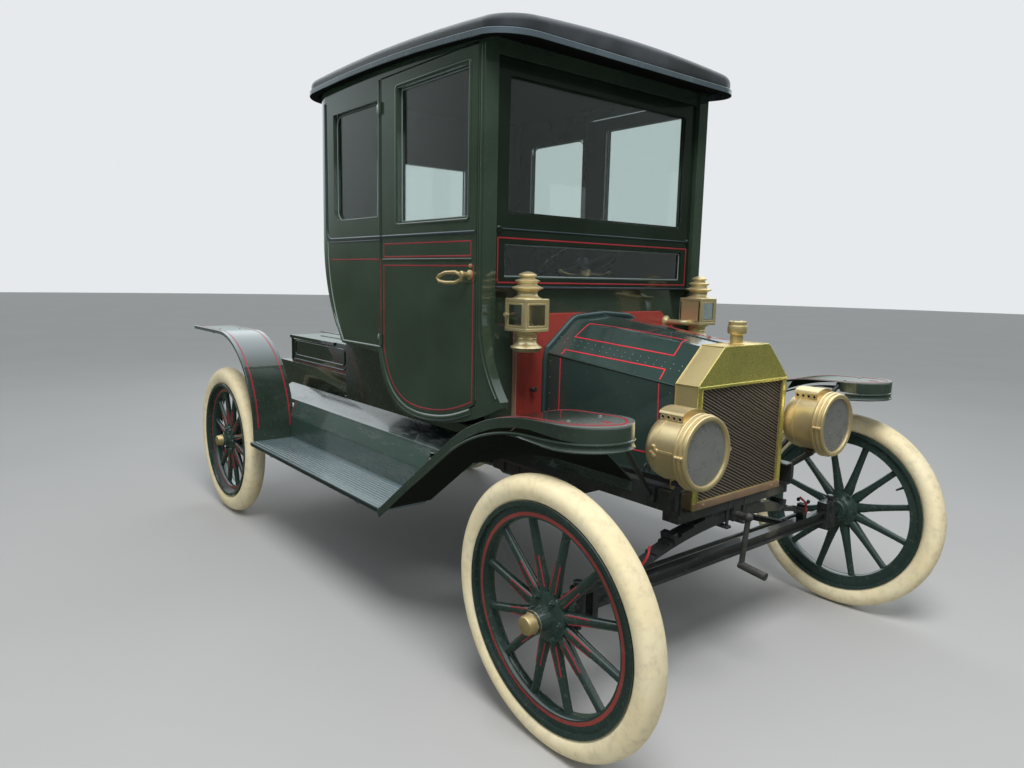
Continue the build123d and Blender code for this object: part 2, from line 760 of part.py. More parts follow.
back_win = (-260.0, 260.0, 1470.0, 1800.0)
with BuildPart() as cab_rear:
    add(shell.part)
    with Locations((FX - 600, 0, 1500)):
        Box(2300, 2000, 2000, mode=Mode.SUBTRACT)
    for s in (-1, 1):
        with Locations((FX - 1800, s * (1000 + wall_split), 1500)):
            Box(2500, 2000, 2000, mode=Mode.SUBTRACT)
    with Locations((FX + cab_back, 0, (back_win[2] + back_win[3]) / 2)):
        Box(200, back_win[1] - back_win[0], back_win[3] - back_win[2], mode=Mode.SUBTRACT)
save(cab_rear.part, "cab_back")

# cab front: wall below the windshield, ledge and top rail between the pillars
front_half = 520.0 - seat_gap
with BuildPart() as cab_fr:
    add(box_at(FX - 652, FX + fire_x - fire_t - seat_gap, -front_half, front_half,
               floor_z + seat_gap, sill_z - 8))
    add(box_at(FX - 652, FX - 604, -front_half, front_half, sill_z - 8, sill_z))
    add(box_at(FX - 652, FX - 612, -front_half, front_half, 1972, roof_line(-612) + drip_h - 1.5))
save(cab_fr.part, "cab_front")

with BuildPart() as shield:
    add(box_at(FX - 645, FX - 617, -front_half, front_half, sill_z + seat_gap, 1972 - seat_gap))
    for y, z0, z1 in ((456.0, 1477.0, 1915.0), (470.0, 1262.0, 1376.0)):
        with Locations((FX - 631, 0, (z0 + z1) / 2)):
            Box(60, 2 * y, z1 - z0, mode=Mode.SUBTRACT)
save(shield.part, "windshield_frame")
with BuildPart() as panes:
    for y, z0, z1 in ((456.0, 1477.0, 1915.0), (470.0, 1262.0, 1376.0)):
        add(box_at(FX - 632, FX - 627, -y + seat_gap, y - seat_gap,
                   z0 + seat_gap, z1 - seat_gap))
save(panes.part, "windshield_glass")

# doors with their window openings
door = slab(door_face(0.0), -cab_half, -cab_half + door_t) - door_cut
save_pair(door, "door")

# side and rear glass, each pane a little smaller than its opening
def pane_of(win, r):
    g = (win[0] + seat_gap, win[1] - seat_gap, win[2] + seat_gap, win[3] - seat_gap)
    return window_cut(g, -cab_half + pane_in, -cab_half + pane_in + pane_t, r - seat_gap)


save_pair(pane_of(door_win, 4.0), "door_glass")
rear_pane = box_at(FX + cab_back + 15, FX + cab_back + 20, back_win[0] + seat_gap,
                   back_win[1] - seat_gap, back_win[2] + seat_gap, back_win[3] - seat_gap)
quarter_panes = both(pane_of(quarter_win, 50.0))
save(Compound(children=[*quarter_panes.solids(), *rear_pane.solids()]), "cab_glass")

# roof: crowned slab trimmed to its plan, and the drip moulding below its edge
def roof_plan(grow):
    with BuildSketch(Plane.XY) as plan:
        with BuildLine():
            x0 = FX + roof_back - grow
            x1 = FX + roof_front + grow
            y = roof_half + grow
            Polyline((x0, -y), (x1, -y), (x1, y), (x0, y), close=True)
        make_face()
        fillet(plan.vertices(), roof_r + grow)
    return plan.sketch


axis_z = roof_u - roof_R
with BuildPart() as crown:
    with BuildSketch(Plane.YZ.offset(FX + roof_peak_x)) as roof_sec:
        with BuildLine():
            zt = roof_u + drip_h + roof_edge_h
            Polyline((roof_half + 40, zt), (roof_half + 40, roof_u + drip_h),
                     (-roof_half - 40, roof_u + drip_h), (-roof_half - 40, zt))
            ThreePointArc((-roof_half - 40, zt), (0, zt + roof_crown), (roof_half + 40, zt))
        make_face()
    revolve(axis=Axis((FX + roof_peak_x, 0, axis_z), (0, 1, 0)), revolution_arc=14)
tilted = Rot(0, -7, 0)
roof_block = Pos(FX + roof_peak_x, 0, axis_z) * tilted * Pos(-FX - roof_peak_x, 0, -axis_z) * crown.part
roof_trim = roof_block & column_of(roof_plan(0.0), 1800, 2400)
with BuildPart() as roof:
    add(roof_trim)
    rim = roof.faces().sort_by(Axis.Z)[-1].edges()
    try:
        fillet(rim, 28)
    except Exception:
        print("roof edge left square")
save(roof.part, "roof")

with BuildSketch(Plane.XZ) as drip_side:
    with BuildLine():
        x0, x1 = roof_back - 40, roof_front + 40
        low = [(FX + x, roof_line(x)) for x in (x0, roof_peak_x, x1)]
        high = [(FX + x, roof_line(x) + drip_h - seat_gap) for x in (x0, roof_peak_x, x1)]
        ThreePointArc(*low)
        Line(low[2], high[2])
        ThreePointArc(*high)
        Line(high[0], low[0])
    make_face()
drip = (slab(drip_side.sketch, -800, 800) & column_of(roof_plan(drip_out), 1800, 2400)) - column_of(
    roof_plan(drip_out - drip_w), 1800, 2400)
save(drip, "roof_drip")

# lower body: floor tray with side walls, longer platform at the rear under the deck box
with BuildPart() as sill:
    add(box_at(FX + deck_rear, FX - 1700, -deck_half, deck_half, sill_bottom, deck_top))
    add(box_at(FX - 1760, FX - 626, -sill_half, sill_half, sill_bottom, floor_z))
    for s in (-1, 1):
        add(box_at(FX - 1740, FX - 1292, s * sill_half, s * (sill_half - 30), floor_z - 1,
                   950 - seat_gap))
        add(box_at(FX - 1292, FX - 655, s * sill_half, s * (sill_half - 30), floor_z - 1, 726))
    add(box_at(FX - 1740, FX - 1700, -sill_half, sill_half, floor_z - 1, 950 - seat_gap))
save(sill.part, "lower_body")

# deck box behind the cab, with its lid hinged along the front
lid_hinge = lid_front + door_barrel + 0.5
with BuildPart() as deck:
    with BuildSketch(Plane.XZ) as deck_side:
        with BuildLine():
            Polyline((FX + box_front, box_top), (FX + box_rear, box_top),
                     (FX + box_rear, deck_top + seat_gap),
                     (FX + box_front, deck_top + seat_gap), close=True)
        make_face()
        fillet(deck_side.vertices().sort_by(Axis.X)[-2:].sort_by(Axis.Y)[0], 50)
    extrude(amount=box_half, both=True)
    add(box_at(FX + box_rear + 20, FX + box_front - 20, -box_half + 20, box_half - 20,
               deck_top + 15, box_top - lid_t - run_gap), mode=Mode.SUBTRACT)
    add(box_at(FX + box_rear - 10, FX + lid_front + run_gap, -box_half - 10, box_half + 10,
               box_top - lid_t - run_gap, box_top + 10), mode=Mode.SUBTRACT)
    for y in (-300.0, 300.0):
        with Locations(Location((FX + lid_hinge, y, box_top + door_barrel), (90, 0, 0))):
            Cylinder(door_barrel, 60.0)
        add(box_at(FX + lid_hinge, FX + lid_front + 36, y - 30, y + 30,
                   box_top - 1, box_top + 4))
save(deck.part, "deck_box")
with BuildPart() as lid:
    add(box_at(FX + box_rear - 8, FX + lid_front, -box_half - 8, box_half + 8,
               box_top - lid_t, box_top))
    # its own hinge knuckles stand beside those of the deck
    for y in (-300.0, 300.0):
        for s in (-1, 1):
            with Locations(Location((FX + lid_hinge, y + s * 42, box_top + door_barrel), (90, 0, 0))):
                Cylinder(door_barrel - 0.5, 23.0)
            add(box_at(FX + lid_front - 1, FX + lid_front + 1.5, y + s * 31, y + s * 53,
                       box_top - 12, box_top))
            add(box_at(FX + lid_front, FX + lid_front + 1.5, y + s * 31, y + s * 53,
                       box_top - 2, box_top + door_barrel))
save(lid.part, "deck_lid")

# front fenders: bent sheet with a round bill in front and a hanging lip outside
fender_path = [(-865, 444), (-430, 772), (-60, 903), (175, 914)]


def fender_band(depth_rear, depth_front):
    with BuildSketch(Plane.XZ) as band:
        with BuildLine():
            p = [(FX + x, z) for x, z in fender_path]
            top1 = Line(p[0], p[1])
            top2 = TangentArc(p[1], p[2], tangent=top1 % 1)
            top3 = Line(p[2], p[3])
            q = [
                (p[0][0] + depth_rear * 0.6, p[0][1] - depth_rear * 0.75),
                (p[1][0] + depth_rear * 0.6, p[1][1] - depth_rear * 0.8),
                (p[2][0], p[2][1] - depth_rear),
                (p[3][0], p[3][1] - depth_front),
            ]
            Line(p[3], q[3])
            Line(q[3], q[2])
            low2 = Line(q[0], q[1])
            TangentArc(q[1], q[2], tangent=low2 % 1)
            Line(q[0], p[0])
        make_face()
    return band.sketch


def bill_plan(inset):
    mid = (fender_out + fender_in) / 2
    w = (fender_out - fender_in) / 2 - inset
    with BuildSketch(Plane.XY) as plan:
        with Locations((FX - 430, -mid)):
            Rectangle(940, 2 * w)
        with Locations((FX + 40, -mid)):
            Ellipse(128 - inset, w)
    return plan.sketch


top_sheet = slab(fender_band(sheet, sheet), -900, -500) & column_of(bill_plan(0.0), 300, 1100)
lip = slab(fender_band(28.0, 48.0), -900, -500) & column_of(bill_plan(0.0), 300, 1100)
lip = lip - column_of(bill_plan(sheet), 300, 1100)
lip = lip - box_at(FX - 1000, FX + 40, -fender_in - 30, -fender_in + 30, 300, 1100)


def fender_z(x):
    # height of the fender's top between its straight foot and its crown
    (x0, z0), (x1, z1), (x2, z2), (x3, z3) = fender_path
    if x <= x1:
        return z0 + (x - x0) * (z1 - z0) / (x1 - x0)
    if x >= x2:
        return z2 + (x - x2) * (z3 - z2) / (x3 - x2)
    run = math.hypot(x1 - x0, z1 - z0)
    nx, nz = (z1 - z0) / run, -(x1 - x0) / run
    r = ((x2 - x1) ** 2 + (z2 - z1) ** 2) / (2 * ((x2 - x1) * nx + (z2 - z1) * nz))
    return z1 + r * nz + math.sqrt(r * r - (x - x1 - r * nx) ** 2)


# skirt from the fender's inner edge down to the frame rail, ahead of the firewall
rail_side = rail_y + rail_flange / 2 + seat_gap
with BuildPart() as skirt:
    for x in (-596.0, -430.0, -345.0, -250.0, -150.0):
        with BuildSketch(Plane.YZ.offset(FX + x)) as skirt_sec:
            with BuildLine():
                zf = fender_z(x)
                Polyline((-fender_in - 3, zf - 4.2), (-fender_in - 3, zf - 4.2 - sheet),
                         (-rail_side - sheet, rail_top - 9), (-rail_side - sheet, rail_top - 45),
                         (-rail_side, rail_top - 45), (-rail_side, rail_top - 4), close=True)
            make_face()
    loft(ruled=True)
fender_shell = top_sheet + lip
save(Compound(children=[*both(fender_shell).solids(), *both(skirt.part).solids()]), "front_fenders")

# rear fenders: flat tail, quarter round drop in front of the wheel, short lips
rf_top = 953.0
rf_base = board_top - board_t


def rear_band(depth):
    zc = rf_top - rf_r
    r2 = rf_r - depth

    def on(r, a):
        return (FX + rf_x + r * math.cos(a), zc + r * math.sin(a))

    with BuildSketch(Plane.XZ) as band:
        with BuildLine():
            am = math.pi / 4
            Line((FX + tail_x, rf_top), (FX + rf_x, rf_top))
            ThreePointArc(on(rf_r, math.pi / 2), on(rf_r, am), on(rf_r, 0.0))
            Line(on(rf_r, 0.0), (FX + rf_x + rf_r, rf_base))
            Line((FX + rf_x + rf_r, rf_base), (FX + rf_x + r2, rf_base))
            Line((FX + rf_x + r2, rf_base), on(r2, 0.0))
            ThreePointArc(on(r2, 0.0), on(r2, am), on(r2, math.pi / 2))
            Line((FX + rf_x, rf_top - depth), (FX + tail_x, rf_top - depth))
            Line((FX + tail_x, rf_top - depth), (FX + tail_x, rf_top))
        make_face()
    return band.sketch


rear_top = slab(rear_band(sheet), -rear_fender_out, -rear_fender_in)
rear_lip = slab(rear_band(16.0), -rear_fender_out, -rear_fender_out + sheet)
save(both(rear_top + rear_lip), "rear_fenders")

# fender irons: a bar under each fender and a rod to what carries it
iron_r = 8.0
with BuildPart() as fender_irons:
    for s in (-1, 1):
        for x, z, y0, foot in (
            (30.0, fender_z(30.0), 615.0, (-72.0, rail_side + 7.0, 612.0)),
            (-2700.0, rf_top, 603.0, (-2700.0, deck_half + seat_gap + 6.0, 745.0)),
        ):
            zb = z - sheet - iron_r - 1.0 - seat_gap
            add(rod((FX + x, s * (y0 - iron_r), zb), (FX + x, s * 792, zb), iron_r + 1.0))
            add(rod((FX + x, s * y0, zb), (FX + foot[0], s * foot[1], foot[2]), iron_r))
            add(box_at(FX + foot[0] - 18, FX + foot[0] + 18, s * (foot[1] - 7 if x > 0 else foot[1] - 6),
                       s * (foot[1] + 3), foot[2] - 22, foot[2] + 22))
save(fender_irons.part, "fender_irons")

# running boards and the aprons from them up to the body
with BuildPart() as board:
    add(box_at(FX + board_rear, FX + board_front, -board_out, -board_in,
               board_top - board_t, board_top))
save(both(board.part), "running_boards")
apron_rear = -2360.0
apron_front = -720.0
apron_foot = board_in - seat_gap
apron_pts = [(-sill_half - seat_gap, 690), (-596, 640), (-apron_foot, 560), (-apron_foot, board_top - board_t + 4)]
with BuildPart() as apron:
    with BuildSketch(Plane.YZ.offset(FX + apron_rear)) as apron_sec:
        with BuildLine():
            Polyline(*apron_pts, (apron_pts[3][0] + sheet, apron_pts[3][1]), (-apron_foot + sheet, 560),
                     (-596 + sheet, 640 - sheet), (apron_pts[0][0], 690 - sheet), close=True)
        make_face()
    extrude(amount=apron_front - apron_rear)
    # the outer half stops at the fenders, the inner half runs on behind them
    for x0, x1 in ((apron_rear - 5, board_rear + 2.5), (board_front, apron_front + 5)):
        add(box_at(FX + x0, FX + x1, -700, -598, 400, 700), mode=Mode.SUBTRACT)
save(both(apron.part), "splash_aprons")

# running board irons: bars out from the rails under board and apron
with BuildPart() as irons:
    for x in (-1060.0, -1900.0):
        for s in (-1, 1):
            y_rail = rail_y + rail_flange / 2 + seat_gap
            add(box_at(FX + x - 16, FX + x + 16, s * y_rail, s * (y_rail + 10), 570, 640))
            add(rod((FX + x, s * (y_rail + 9), 588), (FX + x, s * 560, 424), 11.0))
            add(box_at(FX + x - 14, FX + x + 14, s * 540, s * 800, 418,
                       board_top - board_t - seat_gap))
save(irons.part, "running_board_irons")

# headlamps: drum, rim, chimney box; flat glass; bracket from the rail
with BuildPart() as lamp:
    with BuildSketch(Plane.XZ) as lamp_sec:
        with BuildLine():
            Polyline(
                (0, -lamp_len), (lamp_body_r - 30, -lamp_len), (lamp_body_r, -lamp_len + 34),
                (lamp_body_r, -18), (lamp_rim_r, -12), (lamp_rim_r, 6), (lamp_rim_r - 12, 12),
                (lamp_rim_r - 20, 12), (lamp_rim_r - 20, -8), (lamp_body_r - 12, -20),
                (30, -110), (0, -110), close=True,
            )
        make_face()
    revolve(axis=Axis.Z)
with BuildPart() as lamp_full:
    add(Location((FX + lamp_x, -lamp_y, lamp_z), (0, 90, 0)) * lamp.part)
    add(box_at(FX + lamp_x - 128, FX + lamp_x - 42, -lamp_y - 48, -lamp_y + 48,
               lamp_z + 60, lamp_z + 118))
    with Locations(Location((FX + lamp_x, -lamp_y, lamp_z), (0, 90, 0))):
        Cylinder(lamp_body_r - 14, 200, mode=Mode.SUBTRACT, align=(Align.CENTER, Align.CENTER, Align.CENTER))
with BuildPart() as lamp_back:
    add(lamp_full.part)
    with Locations(Location((FX + lamp_x - lamp_len + 12, -lamp_y, lamp_z), (0, 90, 0))):
        Cylinder(lamp_body_r - 30.5, 22)
        Cylinder(lamp_body_r - 12, 4)
save(both(lamp_back.part), "headlamps")
with BuildPart() as lens:
    with Locations(Location((FX + lamp_x + 1, -lamp_y, lamp_z), (0, 90, 0))):
        Cylinder(lamp_rim_r - 20 - seat_gap, 4)
save(both(lens.part), "headlamp_glass")
with BuildPart() as bracket:
    y_rail = rail_y + rail_flange / 2 + seat_gap
    add(box_at(FX - 30, FX + 36, -y_rail - 20, -y_rail, 585, 640))
    add(rod((FX + 12, -y_rail - 13, 622), (FX + lamp_x - 70, -lamp_y, lamp_z - lamp_body_r - 13), 10))
    with Locations((FX + lamp_x - 70, -lamp_y, lamp_z - lamp_body_r - 6.3)):
        Box(34, 60, 12)
save(both(bracket.part), "headlamp_brackets")

# side lamps: glass box with tiered chimney and flared font, arm from the firewall
with BuildPart() as slamp:
    with Locations(Location((0, 0, 0), (0, 0, 0))):
        Box(92, 92, 108)
    with BuildSketch(Plane.XZ) as chim:
        with BuildLine():
            Polyline((0, 53), (42, 53), (28, 70), (30, 80), (46, 90), (42, 96), (28, 100),
                     (36, 112), (32, 118), (20, 122), (26, 130), (12, 140), (0, 142),
                     close=True)
        make_face()
    revolve(axis=Axis.Z)
    with BuildSketch(Plane.XZ) as font:
        with BuildLine():
            Polyline((0, -53), (40, -53), (30, -68), (30, -92), (46, -108), (38, -122),
                     (0, -122), close=True)
        make_face()
    revolve(axis=Axis.Z)
with BuildPart() as slamp_full:
    add(Location((FX + side_lamp_x, -side_lamp_y, side_lamp_z)) * slamp.part)
    arm_end = -side_lamp_y + 86
    add(rod((FX + side_lamp_x, -side_lamp_y, side_lamp_z - 45),
            (FX + side_lamp_x, arm_end, side_lamp_z - 45), 11))
    with Locations((FX + side_lamp_x, arm_end, side_lamp_z - 45)):
        Sphere(11.0)
    add(rod((FX + side_lamp_x, arm_end, side_lamp_z - 45),
            (FX + fire_x + seat_gap, arm_end, side_lamp_z - 45), 11))
save(both(slamp_full.part), "side_lamps")

# seat: box, cushion and back
with BuildPart() as seat_box:
    add(box_at(FX - 1690, FX - 1200, -seat_half, seat_half, floor_z + seat_gap, 960))
save(seat_box.part, "seat_box")
with BuildPart() as cushion:
    add(box_at(FX - 1660, FX - 1180, -seat_half, seat_half, 960 + seat_gap, 1090))
with BuildPart() as backrest:
    with BuildSketch(Plane.XZ) as back_sec:
        with BuildLine():
            Polyline((FX - 1668, 1090.3), (FX - 1560, 1090.3), (FX - 1690, 1440),
                     (FX - 1790, 1440), close=True)
        make_face()
    extrude(amount=seat_half, both=True)
save(Compound(children=[*cushion.part.solids(), *backrest.part.solids()]), "seat_cushions")

# three pedals through the floor on the driver's side, and the hand lever
with BuildPart() as pedals:
    for y in (140.0, 215.0, 365.0):
        add(rod((FX - 690, y, floor_z + seat_gap + 7), (FX - 752, y, 838), 7.0))
        with Locations(Location((FX - 756, y, 846), (0, -66, 0))):
            Box(66, 52, 8)
        add(box_at(FX - 704, FX - 676, y - 14, y + 14, floor_z + seat_gap, floor_z + seat_gap + 6))
    add(box_at(FX - 900, FX - 860, 452, 462, floor_z + seat_gap, floor_z + 80))
    add(rod((FX - 880, 457, floor_z + 70), (FX - 1000, 457, 1130), 8.0))
    add(rod((FX - 994, 457, 1110), (FX - 1030, 457, 1236), 12.0))
save(pedals.part, "foot_pedals")

# steering: column from the floor to the wheel on the left, and the wheel
sw = Vector(FX - 1020, 290, 1335)
col_low = Vector(FX - 676, 290, 708.4)
col_dir = (sw - col_low).normalized()
with BuildPart() as column:
    add(rod(col_low, sw - col_dir * 10.3, 16))
save(column.part, "steering_column")
with BuildPart() as swheel:
    with Locations(Location(Plane(origin=sw, z_dir=col_dir))):
        Torus(190, 13)
        Cylinder(34, 20)
        with PolarLocations(0, 4, start_angle=45):
            with Locations(Location((105, 0, 0), (0, 90, 0))):
                Cylinder(7, 176)
save(swheel.part, "steering_wheel")

print("built", len(os.listdir("parts")), "files")
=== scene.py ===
import json
import math

import bmesh
import bpy
import numpy as np
from mathutils import Matrix, Vector

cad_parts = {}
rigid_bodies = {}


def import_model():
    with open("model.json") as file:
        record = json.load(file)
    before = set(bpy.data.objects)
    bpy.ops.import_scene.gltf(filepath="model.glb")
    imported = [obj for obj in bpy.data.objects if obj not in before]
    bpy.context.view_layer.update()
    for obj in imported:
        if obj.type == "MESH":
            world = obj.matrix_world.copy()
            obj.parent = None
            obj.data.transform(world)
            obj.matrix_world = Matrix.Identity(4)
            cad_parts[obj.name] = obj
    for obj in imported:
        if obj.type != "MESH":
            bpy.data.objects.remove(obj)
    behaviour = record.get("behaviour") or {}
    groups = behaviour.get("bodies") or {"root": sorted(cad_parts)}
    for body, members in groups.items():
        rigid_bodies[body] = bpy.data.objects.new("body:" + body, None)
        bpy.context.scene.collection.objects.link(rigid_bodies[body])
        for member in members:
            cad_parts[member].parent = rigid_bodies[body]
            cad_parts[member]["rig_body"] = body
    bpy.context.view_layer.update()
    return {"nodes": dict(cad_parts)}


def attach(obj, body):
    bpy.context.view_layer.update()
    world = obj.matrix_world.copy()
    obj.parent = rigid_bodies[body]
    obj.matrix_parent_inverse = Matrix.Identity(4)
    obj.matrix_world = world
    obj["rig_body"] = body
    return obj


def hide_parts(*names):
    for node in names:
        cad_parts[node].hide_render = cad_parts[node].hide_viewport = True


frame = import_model()
cad = frame["nodes"]
AHEAD, RIGHT, LEFT, UP = (1, 0, 0), (0, -1, 0), (0, 1, 0), (0, 0, 1)

# Studio. A pale floor under an even pale sky, one broad lamp over the right front wing and a weak
# one from the left rear; mirrored rays see a sky of their own. The eye stands off the right front
# corner at chest height.


class Num:
    """A socket carrying a number; each operator on it adds one Math node."""

    def __init__(self, finish, socket):
        self.finish, self.socket = finish, socket

    def math(self, operation, *others):
        values = {i: v for i, v in enumerate((self, *others))}
        return self.finish.node("ShaderNodeMath", {"operation": operation}, values)

    def flipped(self, operation, other):
        return self.finish.node("ShaderNodeMath", {"operation": operation}, {0: other, 1: self})

    def __add__(self, other): return self.math("ADD", other)
    def __radd__(self, other): return self.math("ADD", other)
    def __sub__(self, other): return self.math("SUBTRACT", other)
    def __rsub__(self, other): return self.flipped("SUBTRACT", other)
    def __mul__(self, other): return self.math("MULTIPLY", other)
    def __rmul__(self, other): return self.math("MULTIPLY", other)
    def __truediv__(self, other): return self.math("DIVIDE", other)
    def __pow__(self, other): return self.math("POWER", other)
    def __gt__(self, other): return self.math("GREATER_THAN", other)
    def __lt__(self, other): return self.math("LESS_THAN", other)
    def __abs__(self): return self.math("ABSOLUTE")

    def soft(self, low, high):
        """0 below low, 1 above high, smooth between."""
        return self.finish.node("ShaderNodeMapRange", {"interpolation_type": "SMOOTHSTEP"},
            {0: self, 1: low, 2: high, 3: 0.0, 4: 1.0})


class Finish:
    """A paint, metal or cloth: one shader whose constants sit on its own sockets."""

    def __init__(self, name, tree=None, **sockets):
        if tree is None:
            self.material = bpy.data.materials.new(name)
            self.material.use_nodes = True
            tree = self.material.node_tree
            self.shader = tree.nodes["Principled BSDF"]
        self.tree = tree
        for socket, value in sockets.items():
            self.shader.inputs[socket.replace("_", " ")].default_value = value

    def node(self, kind, settings, inputs, out=0):
        """Adds a node: its settings, a ramp's stops among them, then its sockets' values or links."""
        made = self.tree.nodes.new(kind)
        for key, value in settings.items():
            if key == "stops":
                ramp = made.color_ramp.elements
                for i, (place, shade) in enumerate(value):
                    stop = ramp[i] if i < 2 else ramp.new(place)
                    stop.position, stop.color = place, (*shade, 1.0)
            else:
                setattr(made, key, value)
        for key, value in inputs.items():
            if isinstance(value, Num):
                self.tree.links.new(value.socket, made.inputs[key])
            else:
                made.inputs[key].default_value = value
        return Num(self, made.outputs[out])

    def place(self):
        """The point itself, in the car's own metres."""
        return self.node("ShaderNodeTexCoord", {}, {}, "Object")

    def xyz(self):
        split = self.node("ShaderNodeSeparateXYZ", {}, {0: self.place()})
        return [Num(self, split.socket.node.outputs[i]) for i in range(3)]

    def noise(self, scale, detail=3.0, stretch=(1, 1, 1), rough=0.5):
        """Cloudy values about 0.5; stretch divides the pattern's size along each axis."""
        at = self.node("ShaderNodeVectorMath", {"operation": "MULTIPLY"}, {0: self.place(), 1: tuple(stretch)})
        return self.node("ShaderNodeTexNoise", {}, {"Vector": at, "Scale": scale, "Detail": detail,
            "Roughness": rough})

    def mix(self, share, a, b):
        """Colour a where share is 0, colour b where it is 1."""
        full = [v if isinstance(v, Num) else (*v, 1.0) for v in (a, b)]
        return self.node("ShaderNodeMix", {"data_type": "RGBA"}, {0: share, 6: full[0], 7: full[1]}, 2)

    def feed(self, **sockets):
        for socket, value in sockets.items():
            self.tree.links.new(value.socket, self.shader.inputs[socket.replace("_", " ")])
        return self

    def tint(self, share, a, b, **sockets):
        """The base colour mixed from a and b, and other sockets fed beside it."""
        return self.feed(Base_Color=self.mix(share, a, b), **sockets)

    def bump(self, height, depth):
        """A height map in metres pressed into the surface."""
        lift = self.node("ShaderNodeBump", {}, {"Height": height, "Distance": depth, "Strength": 1.0})
        return self.feed(Normal=lift)


world = bpy.data.worlds.new("studio")
bpy.context.scene.world = world
world.use_nodes = True
air = Finish("air", world.node_tree)
seen = air.node("ShaderNodeLightPath", {}, {}, "Is Camera Ray")
rays = seen.socket.node.outputs
share = seen.math("MAXIMUM", Num(air, rays["Is Transmission Ray"]))
way = [air.node("ShaderNodeSeparateXYZ", {}, {0: air.node("ShaderNodeTexCoord", {}, {}, "Generated")}, k)
    for k in (0, 1, 2)]
# polished faces mirror a bright sky behind the car and a darker one before it, as the eye looks
LOOK_X, LOOK_Y = -0.773, 0.634
BRIGHT = ((0.0, (0.033, 0.041, 0.03)), (0.49, (0.056, 0.073, 0.05)), (0.512, (0.12, 0.15, 0.12)),
    (0.54, (0.3, 0.35, 0.34)), (0.6, (0.6, 0.67, 0.7)), (0.72, (0.9, 0.97, 1.0)))
DARK = ((0.0, (0.033, 0.041, 0.03)), (0.5, (0.042, 0.054, 0.04)), (0.62, (0.052, 0.068, 0.054)),
    (0.72, (0.12, 0.15, 0.13)), (0.82, (0.45, 0.52, 0.55)), (0.9, (0.9, 0.97, 1.0)))
open_sky, shaded_sky = [air.node("ShaderNodeValToRGB", {"stops": stops}, {0: way[2] * 0.5 + 0.5})
    for stops in (BRIGHT, DARK)]
mirrored_sky = air.mix((way[0] * LOOK_X + way[1] * LOOK_Y).soft(0.22, 0.58), shaded_sky, open_sky)
sky = world.node_tree.nodes["Background"]
sky.inputs[0].default_value, sky.inputs[1].default_value = (0.93, 0.97, 1.0, 1.0), 0.46
pale = world.node_tree.nodes.new("ShaderNodeBackground")
pale.inputs[0].default_value, pale.inputs[1].default_value = (0.8, 0.82, 0.84, 1.0), 1.0
glossy = world.node_tree.nodes.new("ShaderNodeBackground")
glossy.inputs[1].default_value = 1.5
world.node_tree.links.new(mirrored_sky.socket, glossy.inputs[0])
last = sky
for chosen, other in ((rays["Is Glossy Ray"], glossy), (share.socket, pale)):
    both = world.node_tree.nodes.new("ShaderNodeMixShader")
    for socket, link in enumerate((chosen, last.outputs[0], other.outputs[0])):
        world.node_tree.links.new(link, both.inputs[socket])
    last = both
world.node_tree.links.new(last.outputs[0], world.node_tree.nodes["World Output"].inputs[0])

for name, spot, aim, size, watts in (("lamp_key", (3.0, -1.9, 5.6), (0.3, 0.0, 0.8), 2.8, 330.0),
        ("lamp_fill", (-4.5, 3.5, 3.6), (0.0, 0.0, 0.8), 4.0, 70.0)):
    lamp = bpy.data.lights.new(name, "AREA")
    lamp.shape, lamp.size, lamp.energy = "DISK", size, watts
    lamp_at = bpy.data.objects.new(name, lamp)
    facing = (Vector(spot) - Vector(aim)).to_track_quat("Z", "Y").to_matrix().to_4x4()
    lamp_at.matrix_world = Matrix.Translation(spot) @ facing
    lamp_at.visible_transmission = lamp_at.visible_glossy = False
    bpy.context.scene.collection.objects.link(lamp_at)

EYE, LENS, FILM = (2.65333, -2.03674, 1.26594), 25.81, 36.0
yaw, pitch, roll = (math.radians(turn) for turn in (140.6408, -8.3412, 1.24129))
ahead = Vector((math.cos(pitch) * math.cos(yaw), math.cos(pitch) * math.sin(yaw), math.sin(pitch)))
level = ahead.cross(Vector(UP)).normalized()
upright = level.cross(ahead)
right = math.cos(roll) * level + math.sin(roll) * upright
top = -math.sin(roll) * level + math.cos(roll) * upright
lens = bpy.data.cameras.new("eye")
lens.lens, lens.sensor_width, lens.sensor_fit = LENS, FILM, "HORIZONTAL"
lens.clip_end = 200.0
eye = bpy.data.objects.new("eye", lens)
eye.matrix_world = Matrix.Translation(EYE) @ Matrix((right, top, -ahead)).transposed().to_4x4()
bpy.context.scene.collection.objects.link(eye)
bpy.context.scene.camera = eye
bpy.context.scene.view_settings.view_transform = "Standard"


